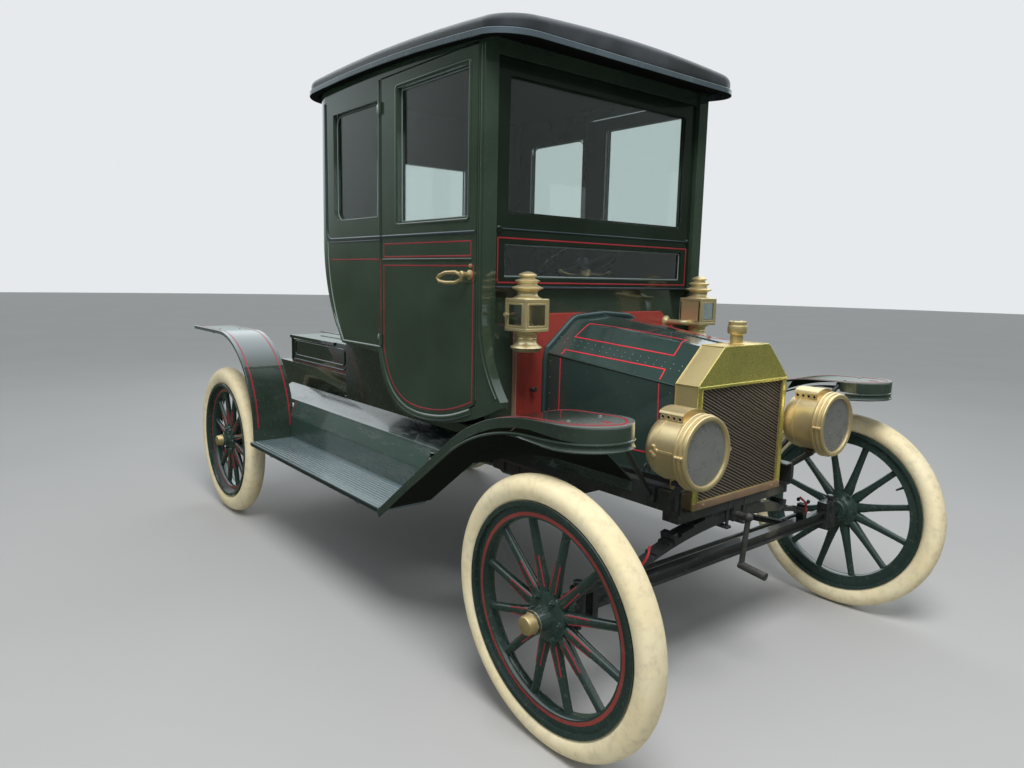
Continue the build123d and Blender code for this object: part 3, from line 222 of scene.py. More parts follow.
def made(name, grids, finish, slot, body="chassis", stands_for=(), crease=35.0):
    """One object from grids of points, each (points[row, column, 3], rows closed, columns closed).
    Four neighbouring points make a face; equal points at a pole are merged."""
    points, faces, base = [], [], 0
    for grid, close_rows, close_columns in grids:
        index = np.arange(grid.shape[0] * grid.shape[1]).reshape(grid.shape[:2]) + base
        if close_rows:
            index = np.vstack([index, index[:1]])
        if close_columns:
            index = np.hstack([index, index[:, :1]])
        faces.append(np.stack([index[:-1, :-1], index[:-1, 1:], index[1:, 1:], index[1:, :-1]], -1).reshape(-1, 4))
        points.append(grid.reshape(-1, 3))
        base += grid.shape[0] * grid.shape[1]
    mesh = bpy.data.meshes.new(name)
    mesh.from_pydata(np.vstack(points).tolist(), [], np.vstack(faces).tolist())
    work = bmesh.new()
    work.from_mesh(mesh)
    bmesh.ops.remove_doubles(work, verts=work.verts, dist=1e-6)
    bmesh.ops.dissolve_degenerate(work, edges=work.edges, dist=1e-7)
    bmesh.ops.recalc_face_normals(work, faces=work.faces)
    work.to_mesh(mesh)
    work.free()
    mesh.shade_smooth()
    mesh.set_sharp_from_angle(angle=math.radians(crease))
    piece = bpy.data.objects.new(name, mesh)
    bpy.context.scene.collection.objects.link(piece)
    mesh.materials.append(finish.material)
    if body is None:
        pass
    else:
        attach(piece, body)
    if stands_for:
        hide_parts(*stands_for)
    return piece


def pair(name, grids, finish, slot, body="chassis", stands_for=()):
    """The same piece right and, mirrored, left; a body whose name ends in _ has one of each side,
    and a node of the CAD that holds both sides is the right piece's."""
    for tag, side in (("right", 1), ("left", -1)):
        made(f"{name}_{tag}", [(grid * [1, side, 1], *closed) for grid, *closed in grids], finish, slot,
            body + tag if body.endswith("_") else body, stands_for if side > 0 else ())


def coat(finish, *nodes):
    """Gives nodes of the CAD, which stand in the picture as they are, a finish."""
    for node in nodes:
        cad[node].data.materials.clear()
        cad[node].data.materials.append(finish.material)


def mm(*pairs):
    """Points in a plane, given in millimetres."""
    return np.array(pairs) / 1000


concrete = Finish("floor_pale", Roughness=0.75)
concrete.tint(concrete.noise(0.8, 5.0), (0.44, 0.44, 0.435), (0.5, 0.5, 0.495))
FLOOR_RADIUS, FLOOR_Z = 40.0, -0.0005
rings = np.linspace(0, 1, 24)[:, None] ** 2 * FLOOR_RADIUS
turn = np.linspace(0, 2 * math.pi, 73)[None, :-1]
# the floor is a disc: radius times the cosine and sine of the turn
floor = made("studio_floor", [(np.stack([rings * np.cos(turn), rings * np.sin(turn), 0 * rings * turn + FLOOR_Z], -1),
    False, True)], concrete, None, None)
floor.visible_glossy = False

# Tyres. Round clincher tyres of natural cream rubber, smooth all round, stretched over the steel
# rims of wood wheels. The tread is a little greyer where it meets the road.
FX, RX = 1.3065, -1.2335  # the front and the rear axle
WHEEL_R, HALF_TRACK = 0.381, 0.762
wheels = []
for end, along, tyre_mid, tyre_r, camber in (("front", FX, 0.343, 0.038, 3.08), ("rear", RX, 0.333, 0.048, 0.0)):
    tilt = math.radians(camber)
    for tag, side in (("right", -1), ("left", 1)):
        hub_y = side * (HALF_TRACK + WHEEL_R * math.tan(tilt))
        hub_z = tyre_mid * math.cos(tilt) + tyre_r
        wheels.append(dict(end=end, tag=tag, body=f"wheel_{end}_{tag}", mid=tyre_mid, r=tyre_r,
            centre=np.array([along, hub_y, hub_z]), out=np.array([0.0, side * math.cos(tilt), -math.sin(tilt)])))
rubber = Finish("cream_rubber", Roughness=0.62, Specular_IOR_Level=0.35)
x, y, z = rubber.xyz()
hub_x = (x > 0.0) * (FX - RX) + RX
from_hub = ((x - hub_x) ** 2.0 + (z - WHEEL_R) ** 2.0) ** 0.5
tread = from_hub.soft(0.362, 0.38)
grime = rubber.noise(38.0, 6.0, rough=0.65).soft(0.44, 0.72)
tint = rubber.mix(rubber.noise(6.0, 4.0).soft(0.3, 0.7), (0.87, 0.745, 0.455), (0.91, 0.815, 0.555))
tint = rubber.mix(grime * 0.35 + tread * 0.35, tint, (0.5, 0.42, 0.27))
rubber.feed(Base_Color=tint, Roughness=0.5 + 0.25 * rubber.noise(60.0, 3.0))
seam = (abs(from_hub - 0.318) * 900.0).soft(0.0, 1.0) * 0.6
rubber.bump(rubber.noise(160.0, 4.0) * 0.25 + seam, 0.0012)


def turned(profile, centre, axis, steps=64):
    """A profile of (radius, height) turned round an axis:
    centre + height * axis + radius * (cos a * u + sin a * v)."""
    axis = np.asarray(axis, float) / np.linalg.norm(axis)
    helper = np.array([0.0, 0.0, 1.0]) if abs(axis[2]) < 0.9 else np.array([1.0, 0.0, 0.0])
    u = np.cross(axis, helper)
    u /= np.linalg.norm(u)
    v = np.cross(axis, u)
    a = np.arange(steps) * 2 * math.pi / steps
    spin = np.cos(a)[:, None] * u + np.sin(a)[:, None] * v
    profile = np.asarray(profile, float)
    grid = (np.asarray(centre, float) + profile[:, 1, None, None] * axis + profile[:, 0, None, None] * spin[None])
    return grid, False, True


def rod(p, q, radius, sides=12, flare=0.0):
    """A round bar from p to q with softened ends; its far end may be thicker by flare."""
    p, q = np.asarray(p, float), np.asarray(q, float)
    run = np.linalg.norm(q - p)
    e = min(radius, run) * 0.25
    far = radius + flare
    return turned([(0, 0), (radius - e, 0), (radius, e), (far, run - e), (far - e, run), (0, run)], p, q - p, sides)


for wheel in wheels:
    tyre = f"{wheel['end']}_tyre_{wheel['tag']}"
    coat(rubber, tyre)
    cad[tyre].data.shade_smooth()

# Wheels. Twelve hickory spokes in a bent wood felloe inside a steel rim, clamped at the hub by a
# pair of steel flanges with bolts; painted dark green, striped red, with a screwed brass cap.


def paint(name, base, gloss=0.16, coat=0.9, dust=(0.16, 0.15, 0.13), dirt=0.25, grain=0.0):
    """A brushed and varnished coach colour: slight cloudiness, fine dust that grows downwards,
    and a coat of varnish with very faint waviness."""
    finish = Finish(name, Roughness=gloss, Coat_Weight=coat, Coat_Roughness=0.05, Coat_IOR=1.5)
    x, y, z = finish.xyz()
    lighter = tuple(c * 1.5 + 0.002 for c in base)
    cloud = finish.noise(3.5, 4.0).soft(0.3, 0.75)
    film = finish.noise(55.0, 5.0, rough=0.6).soft(0.52, 0.8) * (1.0 - z.soft(0.1, 1.3) * 0.75)
    shade = finish.mix(cloud, base, lighter)
    finish.tint(film * dirt, shade, dust, Roughness=gloss + 0.25 * film + 0.06 * cloud)
    return finish.bump(finish.noise(26.0, 2.0) * 0.6 + finish.noise(420.0, 2.0) * grain, 0.00012)


def metal(name, base, rough, tarnish, spread=0.5, depth=0.0004):
    """Bare metal with cloudy tarnish, fine rubbing marks and a barely uneven surface."""
    finish = Finish(name, Metallic=0.8, Roughness=rough)
    patches = finish.noise(9.0, 6.0, rough=0.62).soft(0.42, 0.72)
    rub = finish.noise(90.0, 3.0, stretch=(1.0, 1.0, 6.0)).soft(0.35, 0.75)
    finish.tint(patches * spread + rub * 0.15, base, tarnish, Roughness=rough + 0.18 * patches * spread + 0.1 * rub)
    return finish.bump(finish.noise(14.0, 3.0) * 0.7 + rub * 0.15, depth)


def on_wheel(wheel, part, grids, finish, stands_for=()):
    """A piece that turns with its wheel."""
    made(f"{wheel['body']}_{part}", grids, finish, "wheel_wood", wheel["body"], stands_for)


wheel_green = paint("wheel_green", (0.018, 0.034, 0.029), 0.2, 0.9, dirt=0.3, grain=0.08)
red_line = paint("red_line", (0.27, 0.02, 0.026), 0.35, 0.4, dirt=0.2)
old_red = paint("felloe_red", (0.24, 0.036, 0.03), 0.42, 0.3, dirt=0.6)
brass = metal("polished_brass", (0.84, 0.64, 0.33), 0.28, (0.6, 0.45, 0.22), 0.5)
steel = metal("worn_steel", (0.22, 0.22, 0.21), 0.38, (0.1, 0.085, 0.07), 0.6)
for wheel in wheels:
    end, c, w = wheel["end"], wheel["centre"], wheel["out"]
    ex = np.array([1.0, 0.0, 0.0])
    ev = np.cross(w, ex) * (1 if w[1] < 0 else -1)
    cap = 0.095 if end == "front" else 0.082
    seat = wheel["mid"] - wheel["r"] + (0.004 if end == "front" else 0.008)
    flange = wheel["r"] - (0.008 if end == "front" else 0.005)
    out_r, in_r, half = seat - 0.008, seat - 0.046, 0.02
    ring = [(in_r + 0.004, -half), (out_r, -half), (out_r, half), (in_r + 0.004, half), (in_r, half - 0.005),
        (in_r - 0.0015, 0.0), (in_r, -half + 0.005), (in_r + 0.004, -half)]
    channel = [(out_r - 0.0005, -flange), (seat + 0.0045, -flange - 0.0012), (seat + 0.006, -flange + 0.001),
        (seat + 0.0045, -flange + 0.003), (seat - 0.0003, -flange + 0.005), (seat - 0.0003, flange - 0.005),
        (seat + 0.0045, flange - 0.003), (seat + 0.006, flange - 0.001), (seat + 0.0045, flange + 0.0012),
        (out_r - 0.0005, flange), (out_r - 0.0005, -flange)]
    hub = [(0.0155, -0.058), (0.034, -0.058), (0.039, -0.054), (0.041, -0.03), (0.046, -0.024), (0.064, -0.0175),
        (0.069, -0.015), (0.069, 0.015), (0.065, 0.0175), (0.044, 0.0185), (0.0345, 0.023), (0.0325, 0.031),
        (0.031, cap - 0.028), (0.0, cap - 0.028)]
    wood = [turned(ring, c, w, 96)]
    # a spoke is an oval tube: its width and thickness ease from the flanges out to the felloe
    reach = np.array([0.052, 0.074, 0.086, 0.11, 0.16, 0.215, in_r - 0.012, in_r - 0.004, in_r + 0.004])
    wide = np.array([0.016, 0.0185, 0.0185, 0.016, 0.0135, 0.0125, 0.0122, 0.0132, 0.0132])
    thick = np.array([0.015, 0.016, 0.0165, 0.015, 0.013, 0.0118, 0.0115, 0.0115, 0.0115])
    a = np.arange(14) * 2 * math.pi / 14
    spokes = [(math.cos(s) * ex + math.sin(s) * ev, math.cos(s) * ev - math.sin(s) * ex)
        for s in np.radians(15 + 30 * np.arange(12))]
    for d, t in spokes:
        tube = (c + reach[:, None, None] * d + (wide[:, None] * np.cos(a))[:, :,
            None] * t + (thick[:, None] * np.sin(a))[:, :, None] * w)
        wood.append((tube, False, True))
    on_wheel(wheel, "wood", wood, wheel_green, (f"{end}_wheel_{wheel['tag']}",))
    on_wheel(wheel, "rim", [turned(channel, c, w, 96)], wheel_green)
    stripe = [(in_r + 0.0085, half + 0.0004), (in_r + 0.019, half + 0.0004), (in_r + 0.019, half - 0.001),
        (in_r + 0.0085, half - 0.001), (in_r + 0.0085, half + 0.0004)]
    on_wheel(wheel, "band", [turned(stripe, c, w, 96)], old_red)
    accents = []
    for d, t in spokes:
        for edge in (-1, 1):
            accents.append(rod(c + 0.08 * d + edge * 0.0115 * t + 0.0118 * w,
                c + 0.162 * d + edge * 0.0082 * t + 0.0098 * w, 0.0021, 6))
    on_wheel(wheel, "lines", accents, red_line)
    fixings = [turned(hub, c, w, 64)]
    for k in range(6):
        turn = math.radians(60 * k)
        d = math.cos(turn) * ex + math.sin(turn) * ev
        at = c + 0.058 * d
        fixings.append(turned(mm((0, 0), (8.5, 0), (8.5, 22.5), (7, 24.5), (0, 24.5)), at, w, 6))
        fixings.append(turned(mm((0, 0), (4.2, 0), (4.2, 29), (3, 30.5), (0, 30.5)), at, w, 10))
        fixings.append(turned(mm((0, 0), (8.5, 0), (8.5, 21), (0, 23)), at, -w, 10))
    # the tyre's valve stem comes in through the felloe
    d = math.cos(0.55) * ex + math.sin(0.55) * ev
    fixings.append(rod(c + (in_r - 0.034) * d, c + (in_r + 0.006) * d, 0.0036, 10, 0.002))
    on_wheel(wheel, "hub", fixings, wheel_green)
    knob = [(0.0305, cap - 0.046), (0.0315, cap - 0.034), (0.0285, cap - 0.03), (0.027, cap - 0.026),
        (0.0262, cap - 0.008), (0.024, cap - 0.003), (0.02, cap - 0.0008), (0.0, cap)]
    flats = [(0.0306, cap - 0.03), (0.0302, cap - 0.026), (0.0262, cap - 0.024), (0.0262, cap - 0.032),
        (0.0306, cap - 0.03)]
    on_wheel(wheel, "cap", [turned(knob, c, w, 48), turned(flats, c, w, 6)], brass)

# Frame. Two pressed steel channel rails tied by crossmembers, cross leaf springs shackled to the
# axles, radius rods and a tube axle; all of it black enamel, dusty and a little oily below.
enamel = paint("chassis_enamel", (0.02, 0.022, 0.023), 0.3, 0.5, dust=(0.13, 0.12, 0.1), dirt=0.7, grain=0.25)
coat(enamel, "frame_rails", "frame_crossmembers", "leaf_springs", "front_axle", "front_knuckle_right",
    "front_knuckle_left", "tie_rod", "radius_rods", "rear_axle", "running_board_irons", "fender_irons",
    "headlamp_brackets", "hood_hinge_rod", "steering_column", "foot_pedals")
heads = []
for side in (-1, 1):
    web = side * 0.3075
    for x in (FX + 0.01, FX - 0.02, FX - 0.62, FX - 1.06 - 0.03, FX - 1.06 + 0.03, FX - 1.33, FX - 1.9,
            FX - 2.52, FX - 2.56):
        for z in (0.588, 0.624):
            heads.append(turned(mm((0, -1), (6.2, -1), (5.8, 2), (3.5, 3.8), (0, 4.3)),
                (x, web, z), (0, side, 0), 10))
    # a nut over and under each kingpin, and those of the spring's ends
    heads.append(turned(mm((0, 0), (14, 0), (14, 12), (12, 14), (0, 14)), (FX, side * 0.684, 0.4375), UP, 6))
    heads.append(turned(mm((0, 0), (14, 0), (14, 9), (12, 11), (0, 11)), (FX, side * 0.684, 0.3225), (0, 0, -1), 6))
    for x in (FX - 0.016, FX + 0.016):
        heads.append(turned(mm((0, 0), (8, 0), (8, 6), (6, 8), (0, 8)), (x, side * 0.478, 0.4665),
            (1 if x > FX else -1, 0, 0), 6))
made("frame_rivets", heads, enamel, "chassis_black")


def swept(section, path, up, closed=False):
    """A closed section carried along a path: path + section x * side + section y * rise, where
    side = run x up, mitred at corners; open ends close to their middle."""
    path, section = np.asarray(path, float), np.asarray(section, float)
    run = (np.roll(path, -1, 0) if closed else np.vstack([path[1:], 2 * path[-1:] - path[-2:-1]])) - path
    run /= np.linalg.norm(run, axis=1, keepdims=True)
    last = np.roll(run, 1, 0) if closed else np.vstack([run[:1], run[:-1]])
    up = np.broadcast_to(np.asarray(up, float), path.shape)
    sides = [np.cross(r, up) for r in (last, run)]
    a, b = [s / np.linalg.norm(s, axis=1, keepdims=True) for s in sides]
    side = (a + b) / (1 + (a * b).sum(1, keepdims=True))
    rise = np.cross(side, last + run)
    rise /= np.linalg.norm(rise, axis=1, keepdims=True)
    grid = path[:, None] + side[:, None] * section[None, :, :1] + rise[:, None] * section[None, :, 1:]
    if not closed:
        ends = [np.repeat(g.mean(0, keepdims=True)[None], grid.shape[1], 1) for g in (grid[0], grid[-1])]
        grid = np.concatenate([ends[0], grid, ends[1]])
    return grid, closed, True


def round_section(radius, sides=8, flat=1.0):
    """A circle, or an oval flattened in its rise."""
    a = np.arange(sides) * 2 * math.pi / sides
    return np.stack([radius * np.cos(a), radius * flat * np.sin(a)], 1)


def bend(*points, rounding=0.02, steps=5):
    """A path through points whose corners are eased by a quadratic curve of the given length."""
    points = [np.asarray(p, float) for p in points]
    path = [points[0]]
    for before, corner, after in zip(points[:-2], points[1:-1], points[2:]):
        a, b = before - corner, after - corner
        cut = min(rounding, 0.49 * np.linalg.norm(a), 0.49 * np.linalg.norm(b))
        a, b = corner + a / np.linalg.norm(a) * cut, corner + b / np.linalg.norm(b) * cut
        t = np.linspace(0, 1, steps)[:, None]
        path.extend((1 - t) ** 2 * a + 2 * t * (1 - t) * corner + t ** 2 * b)
    return np.vstack([*path, points[-1]])


def bar(radius, *points, up=AHEAD, sides=8, flat=1.0, **ease):
    """A round bar, or one flattened, bent through points."""
    return swept(round_section(radius, sides, flat), bend(*points, **ease), up)


def plate(outline, origin, u, v, thick, edge=0.0015):
    """A flat piece: its outline in the u, v plane, raised along u x v by thick, with eased edges."""
    outline = np.asarray(outline, float)
    u, v = np.asarray(u, float), np.asarray(v, float)
    w = np.cross(u, v)
    middle = outline.mean(0)
    inset = middle + (outline - middle) * (1 - edge / np.linalg.norm(outline - middle, axis=1).mean())
    layers = [(np.broadcast_to(middle, outline.shape), 0), (inset, 0), (outline, edge), (outline, thick - edge),
        (inset, thick), (np.broadcast_to(middle, outline.shape), thick)]
    grid = np.stack([np.asarray(origin, float) + l[:, :1] * u + l[:, 1:] * v + h * w for l, h in layers])
    return grid, False, True


def oblong(half_u, half_v, corner, steps=4):
    """A rectangle with round corners, its points in order."""
    a = np.linspace(0, math.pi / 2, steps + 1)
    arcs = [np.stack([sx * (half_u - corner) + corner * np.cos(a + q),
        sy * (half_v - corner) + corner * np.sin(a + q)], 1) for q, sx, sy in ((0, 1, 1), (math.pi / 2, -1, 1),
        (math.pi, -1, -1), (1.5 * math.pi, 1, -1))]
    return np.vstack(arcs)


# Spring clips. Two U-bolts and a plate at each seat hold a spring under its crossmember, and a
# clip further out on each side keeps its leaves together.
clips = []
for x0, top_z, clip_y, sag, span in ((FX, 0.5382, 0.3, 0.062, 0.442), (RX, 0.5682, 0.38, 0.066, 0.575)):
    for s in (-1, 1):
        for dx in (-0.027, 0.027):
            clips.append(bar(0.0055, (x0 + dx, s * 0.045, top_z + 0.03), (x0 + dx, s * 0.045, top_z - 0.055),
                rounding=0.01))
        clips.append(plate(oblong(0.038, 0.012, 0.004), (x0, s * 0.045, top_z - 0.062), AHEAD, LEFT, 0.008))
    for s in (-1, 1):
        y = s * clip_y
        leaf_z = top_z - sag * (y / span) ** 2 - 0.0155  # a leaf's middle: it sags by a parabola
        clips.append(swept(oblong(0.0265, 0.017, 0.003), [(x0, y - s * 0.009, leaf_z),
            (x0, y + s * 0.009, leaf_z - 0.004)], UP))
made("spring_clips", clips, enamel, "chassis_black")

# Front shackles. Each carries a small plate and a curved strap, both touched in red.
marks = []
for s in (-1, 1):
    marks.append(plate(oblong(0.013, 0.01, 0.003), (FX + 0.0145, s * 0.47, 0.43), LEFT, UP, 0.003))
    marks.append(bar(0.004, (FX + 0.02, s * 0.452, 0.44), (FX + 0.035, s * 0.44, 0.47), (FX + 0.02, s * 0.415, 0.495),
        rounding=0.02, up=(0, 1, 0.2)))
made("shackle_marks", marks, red_line, "chassis_black")

# Engine and drive. One grey iron block over a pan and gear case, a rusty exhaust and silencer, and
# the starting crank with its plain steel handle under the radiator.


def iron(name, base, rust, share):
    """Rough cast metal with rust in its hollows."""
    finish = Finish(name, Metallic=0.35, Roughness=0.7)
    patches = finish.noise(14.0, 6.0, rough=0.65).soft(0.45, 0.7)
    finish.tint(patches * share, base, rust, Roughness=0.6 + 0.25 * patches)
    return finish.bump(finish.noise(220.0, 4.0) * 0.5 + finish.noise(24.0, 3.0) * 0.5, 0.0015)


cast = iron("cast_iron", (0.075, 0.075, 0.075), (0.1, 0.06, 0.035), 0.5)
scale = iron("exhaust_scale", (0.07, 0.06, 0.055), (0.16, 0.07, 0.035), 0.8)
handle = metal("crank_steel", (0.2, 0.2, 0.19), 0.45, (0.07, 0.05, 0.04), 0.7)
coat(cast, "engine", "engine_pan")
coat(scale, "exhaust")
coat(handle, "starting_crank")
ribs = []
for x in np.linspace(FX - 0.6, FX - 0.99, 5):
    ribs.append(swept(oblong(0.004, 0.004, 0.001, 1), bend((x, -0.154, 0.58), (x, -0.154, 0.452), (x, 0.154, 0.452),
        (x, 0.154, 0.58), rounding=0.01), AHEAD))
for y in (-0.075, 0.095):
    ribs.append(rod((FX - 0.13, y, 0.915), (FX - 0.13, y, 0.945), 0.012, 12))
ribs.append(turned(mm((0, 0), (55, 0), (60, 6), (60, 18), (52, 24), (0, 24)), (FX - 0.12, 0.0, 0.6), AHEAD, 40))
made("gear_case_ribs", ribs, cast, "cast_iron")

# Radiator. A soldered shell of sheet brass round a core of thin black fins: sloping upper corners,
# a raised bead along each fold, a coppery lower tank, and a screwed cap with two wings.
BACK, FACE = FX - 0.055, FX + 0.0325


def dressed(node, width, finish, segments=2, join=0.6, under=None):
    """The node's own surface made fit for a finish: triangles joined, flat faces made whole,
    sharp edges rounded by width; faces that look down may have a finish of their own."""
    source = cad[node]
    mesh = source.data.copy()
    mesh.name = node + "_skin"
    work = bmesh.new()
    work.from_mesh(mesh)
    bmesh.ops.remove_doubles(work, verts=work.verts, dist=1e-5)
    bmesh.ops.dissolve_limit(work, angle_limit=math.radians(join), verts=work.verts, edges=work.edges)
    work.to_mesh(mesh)
    work.free()
    mesh.materials.clear()
    mesh.materials.append(finish.material)
    if under is not None:
        mesh.materials.append(under.material)
        look = np.empty(len(mesh.polygons) * 3)
        mesh.polygons.foreach_get("normal", look)
        mesh.polygons.foreach_set("material_index", (look[2::3] < -0.12).astype(np.int32))
    mesh.shade_smooth()
    mesh.set_sharp_from_angle(angle=math.radians(32))
    piece = bpy.data.objects.new(mesh.name, mesh)
    bpy.context.scene.collection.objects.link(piece)
    edge = piece.modifiers.new("eased_edges", "BEVEL")
    edge.width, edge.segments, edge.limit_method = width, segments, "ANGLE"
    edge.angle_limit, edge.harden_normals, edge.use_clamp_overlap = math.radians(32), True, True
    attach(piece, source["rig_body"])
    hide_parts(node)
    return piece


shell_brass = Finish("radiator_brass", Metallic=0.86)
x, y, z = shell_brass.xyz()
front = x.soft(FACE - 0.0016, FACE - 0.0008)
patches = shell_brass.noise(9.0, 6.0, rough=0.62).soft(0.42, 0.72)
rub = shell_brass.noise(90.0, 3.0, stretch=(1.0, 1.0, 6.0)).soft(0.35, 0.75)
gold = shell_brass.mix(patches * 0.35 + rub * 0.1, (0.99, 0.79, 0.4), (0.8, 0.62, 0.31))
# the front face is tinted olive while the sides stay gold: a painted reflection of green surroundings in the polished
# brass
reflected_olive = shell_brass.mix(patches * 0.5, (0.94, 0.84, 0.26), (0.68, 0.61, 0.2))
shell_brass.tint(front, gold, reflected_olive, Roughness=0.42 - 0.16 * front + 0.1 * rub)
shell_brass.bump(shell_brass.noise(14.0, 3.0), 0.0004)
copper = metal("tank_copper", (0.66, 0.43, 0.3), 0.36, (0.42, 0.28, 0.2), 0.6)
dressed("radiator_shell", 0.0016, shell_brass)
half, shoulder, top_half, crest = 0.2404, 0.9528, 0.1206, 1.0655
folds = []
for x in (BACK + 0.002, FACE - 0.0015):
    for s in (-1, 1):
        folds.append(bar(0.0026, (x, s * half, 0.57), (x, s * half, shoulder), (x, s * top_half, crest),
            (x, 0, crest + 0.0002), rounding=0.008))
for s in (-1, 1):
    for y, z in ((half, shoulder), (top_half, crest)):
        folds.append(rod((BACK, s * (y + 0.0004), z), (FACE, s * (y + 0.0004), z), 0.0024, 8))
    folds.append(rod((FACE, s * 0.2204, 0.592), (FACE, s * 0.2204, 0.944), 0.0024, 8))
folds.append(rod((FACE + 0.0005, -half, 0.9478), (FACE + 0.0005, half, 0.9478), 0.0035, 10))
folds.append(rod((FACE + 0.0005, -0.2204, 0.9435), (FACE + 0.0005, 0.2204, 0.9435), 0.0022, 8))
made("radiator_folds", folds, shell_brass, "brass")
lower = [swept(oblong(0.0115, 0.0022, 0.0016, 2), [(FACE + 0.0003, -half + 0.001, 0.5802),
    (FACE + 0.0003, half - 0.001, 0.5802)], AHEAD)]
for s in (-1, 1):
    lower.append(swept(oblong(0.002, 0.008, 0.001, 2), [(BACK + 0.044, s * (half + 0.0008), 0.57),
        (BACK + 0.044, s * (half + 0.0008), 0.59)], AHEAD))
    lower.append(turned(mm((0, -4), (7, -4), (7, 2), (4, 4.5), (0, 5)), (FACE + 0.002, s * 0.19, 0.5802), AHEAD, 10))
made("radiator_lower_tank", lower, copper, "brass")

# Core. A close stack of crimped fins whose crests run on a slant across the face.
fins = Finish("core_fins", Metallic=0.55, Roughness=0.48)
x, y, z = fins.xyz()
slant = ((z + y * 0.46 + fins.noise(7.0, 2.0) * 0.012) * 620.0).math("SINE")
weave = (y * 1500.0).math("SINE") * 0.35
# near-black between the fins' crests is painted shade in the core's gaps; the same mask gives the crimp its bump
crest_and_gap_shade = (slant + weave).soft(-0.3, 1.1)
fins.tint(crest_and_gap_shade, (0.03, 0.026, 0.022), (0.4, 0.335, 0.27), Roughness=0.42 + 0.2 * fins.noise(30.0, 3.0))
fins.bump(crest_and_gap_shade, 0.0016)
rows = np.linspace(0.594, 0.942, 88)
across = np.linspace(-0.2196, 0.2196, 60)
crimp = 0.0011 * np.sin(across * 340.0)
stack = []
for k in range(len(rows) - 1):
    z0, z1 = rows[k], rows[k + 1] - 0.0012
    depth = FACE - 0.0075 + 0.001 * np.sin(across * 90.0 + k * 0.9)
    line = np.stack([depth, across, z0 + crimp], -1)
    stack.append((np.stack([line - [0.01, 0, 0], line, line + [0, 0, z1 - z0], line + [-0.01, 0, z1 - z0]]), True,
        False))
made("core_face", stack, fins, "core_fins", crease=60.0)
coat(fins, "radiator_core")

# Cap. A turned cup on a short neck, with two cast wings and a small boss.
cap_x, cap_z = FX - 0.011, 1.0655
cup = [turned(mm((0, -1), (24, -1), (24, 4), (18.5, 7), (17.5, 28), (20, 32), (28.5, 36), (30, 40), (30, 58),
    (28.5, 62), (24, 66), (16, 69.5), (8, 73.5), (0, 74.5)), (cap_x, 0, cap_z), UP, 48)]
for s in (-1, 1):
    cup.append(bar(0.0052, (cap_x, s * 0.004, cap_z + 0.066), (cap_x, s * 0.018, cap_z + 0.069),
        (cap_x, s * 0.0245, cap_z + 0.0735), rounding=0.01, sides=10, flat=0.62))
made("radiator_cap", cup, shell_brass, "brass")

# Hood. Two leaves of thin sheet steel each side, hinged at the ridge and along the shoulder, glossy
# green-black, lined in bright red, with rows of small rivets, spring catches and a long hinge.
hood_green = paint("hood_green", (0.022, 0.039, 0.034), 0.16, 0.9, dirt=0.12)
bright_red = paint("bright_red_line", (0.54, 0.024, 0.042), 0.35, 0.4, dirt=0.1)
chips = metal("bare_rivets", (0.72, 0.76, 0.78), 0.35, (0.45, 0.5, 0.5), 0.4)
FRONT = dict(x=FX - 0.0605, h=0.236, s=0.948, t=0.118, z=1.06, c=1.065, r=0.022)
REAR = dict(x=FX - 0.597, h=0.285, s=1.003, t=0.15, z=1.117, c=1.128, r=0.07)


def leaf_edge(end, s):
    """A point across one end of the top leaf and the way out from it: s runs from the shoulder (0)
    up the slope to the edge (1) and over the crown to the ridge (2), the edge rounded by r."""
    foot, corner, ridge = (np.array(p) for p in ((-end["h"], end["s"]), (-end["t"], end["z"]), (0, end["c"])))
    u, v = foot - corner, ridge - corner
    lu, lv = np.linalg.norm(u), np.linalg.norm(v)
    u, v = u / lu, v / lv
    half = math.acos(u @ v) / 2
    run = end["r"] / math.tan(half)
    away = (s - 1) * (lu if s < 1 else lv)
    middle = (u + v) / np.linalg.norm(u + v)
    if abs(away) >= run:
        point = corner + (u * -away if away < 0 else v * away)
        out = np.array([-u[1], u[0]]) if away < 0 else np.array([v[1], -v[0]])
        out = out * (1 if out @ middle < 0 else -1)
    else:
        turn = away / run * (math.pi / 2 - half)
        out = -middle * math.cos(turn) + (v - middle * (v @ middle)) / math.sin(half) * math.sin(turn)
        point = corner + middle * (end["r"] / math.sin(half)) + out * end["r"]
    return np.array([end["x"], *point]), np.array([0.0, *out])


def leaf_point(f, s, lift=0.0005):
    """A point on the top leaf at share f from the radiator to the dash, s across it."""
    (a, na), (b, nb) = leaf_edge(FRONT, s), leaf_edge(REAR, s)
    return a + f * (b - a) + lift * (na + f * (nb - na))


def side_point(f, drop, lift=0.0005):
    """A point on the upright side leaf, drop metres under the shoulder."""
    a, b = (np.array([e["x"], -e["h"] - lift, e["s"] - drop]) for e in (FRONT, REAR))
    return a + f * (b - a)


def dots(points, normals, radius=0.0018, rise=0.0012):
    """Small round heads, one at each point."""
    return [turned([(0, -0.0004), (radius, -0.0004), (radius * 0.7, rise * 0.7), (0, rise)], p, n, 8)
        for p, n in zip(points, normals)]


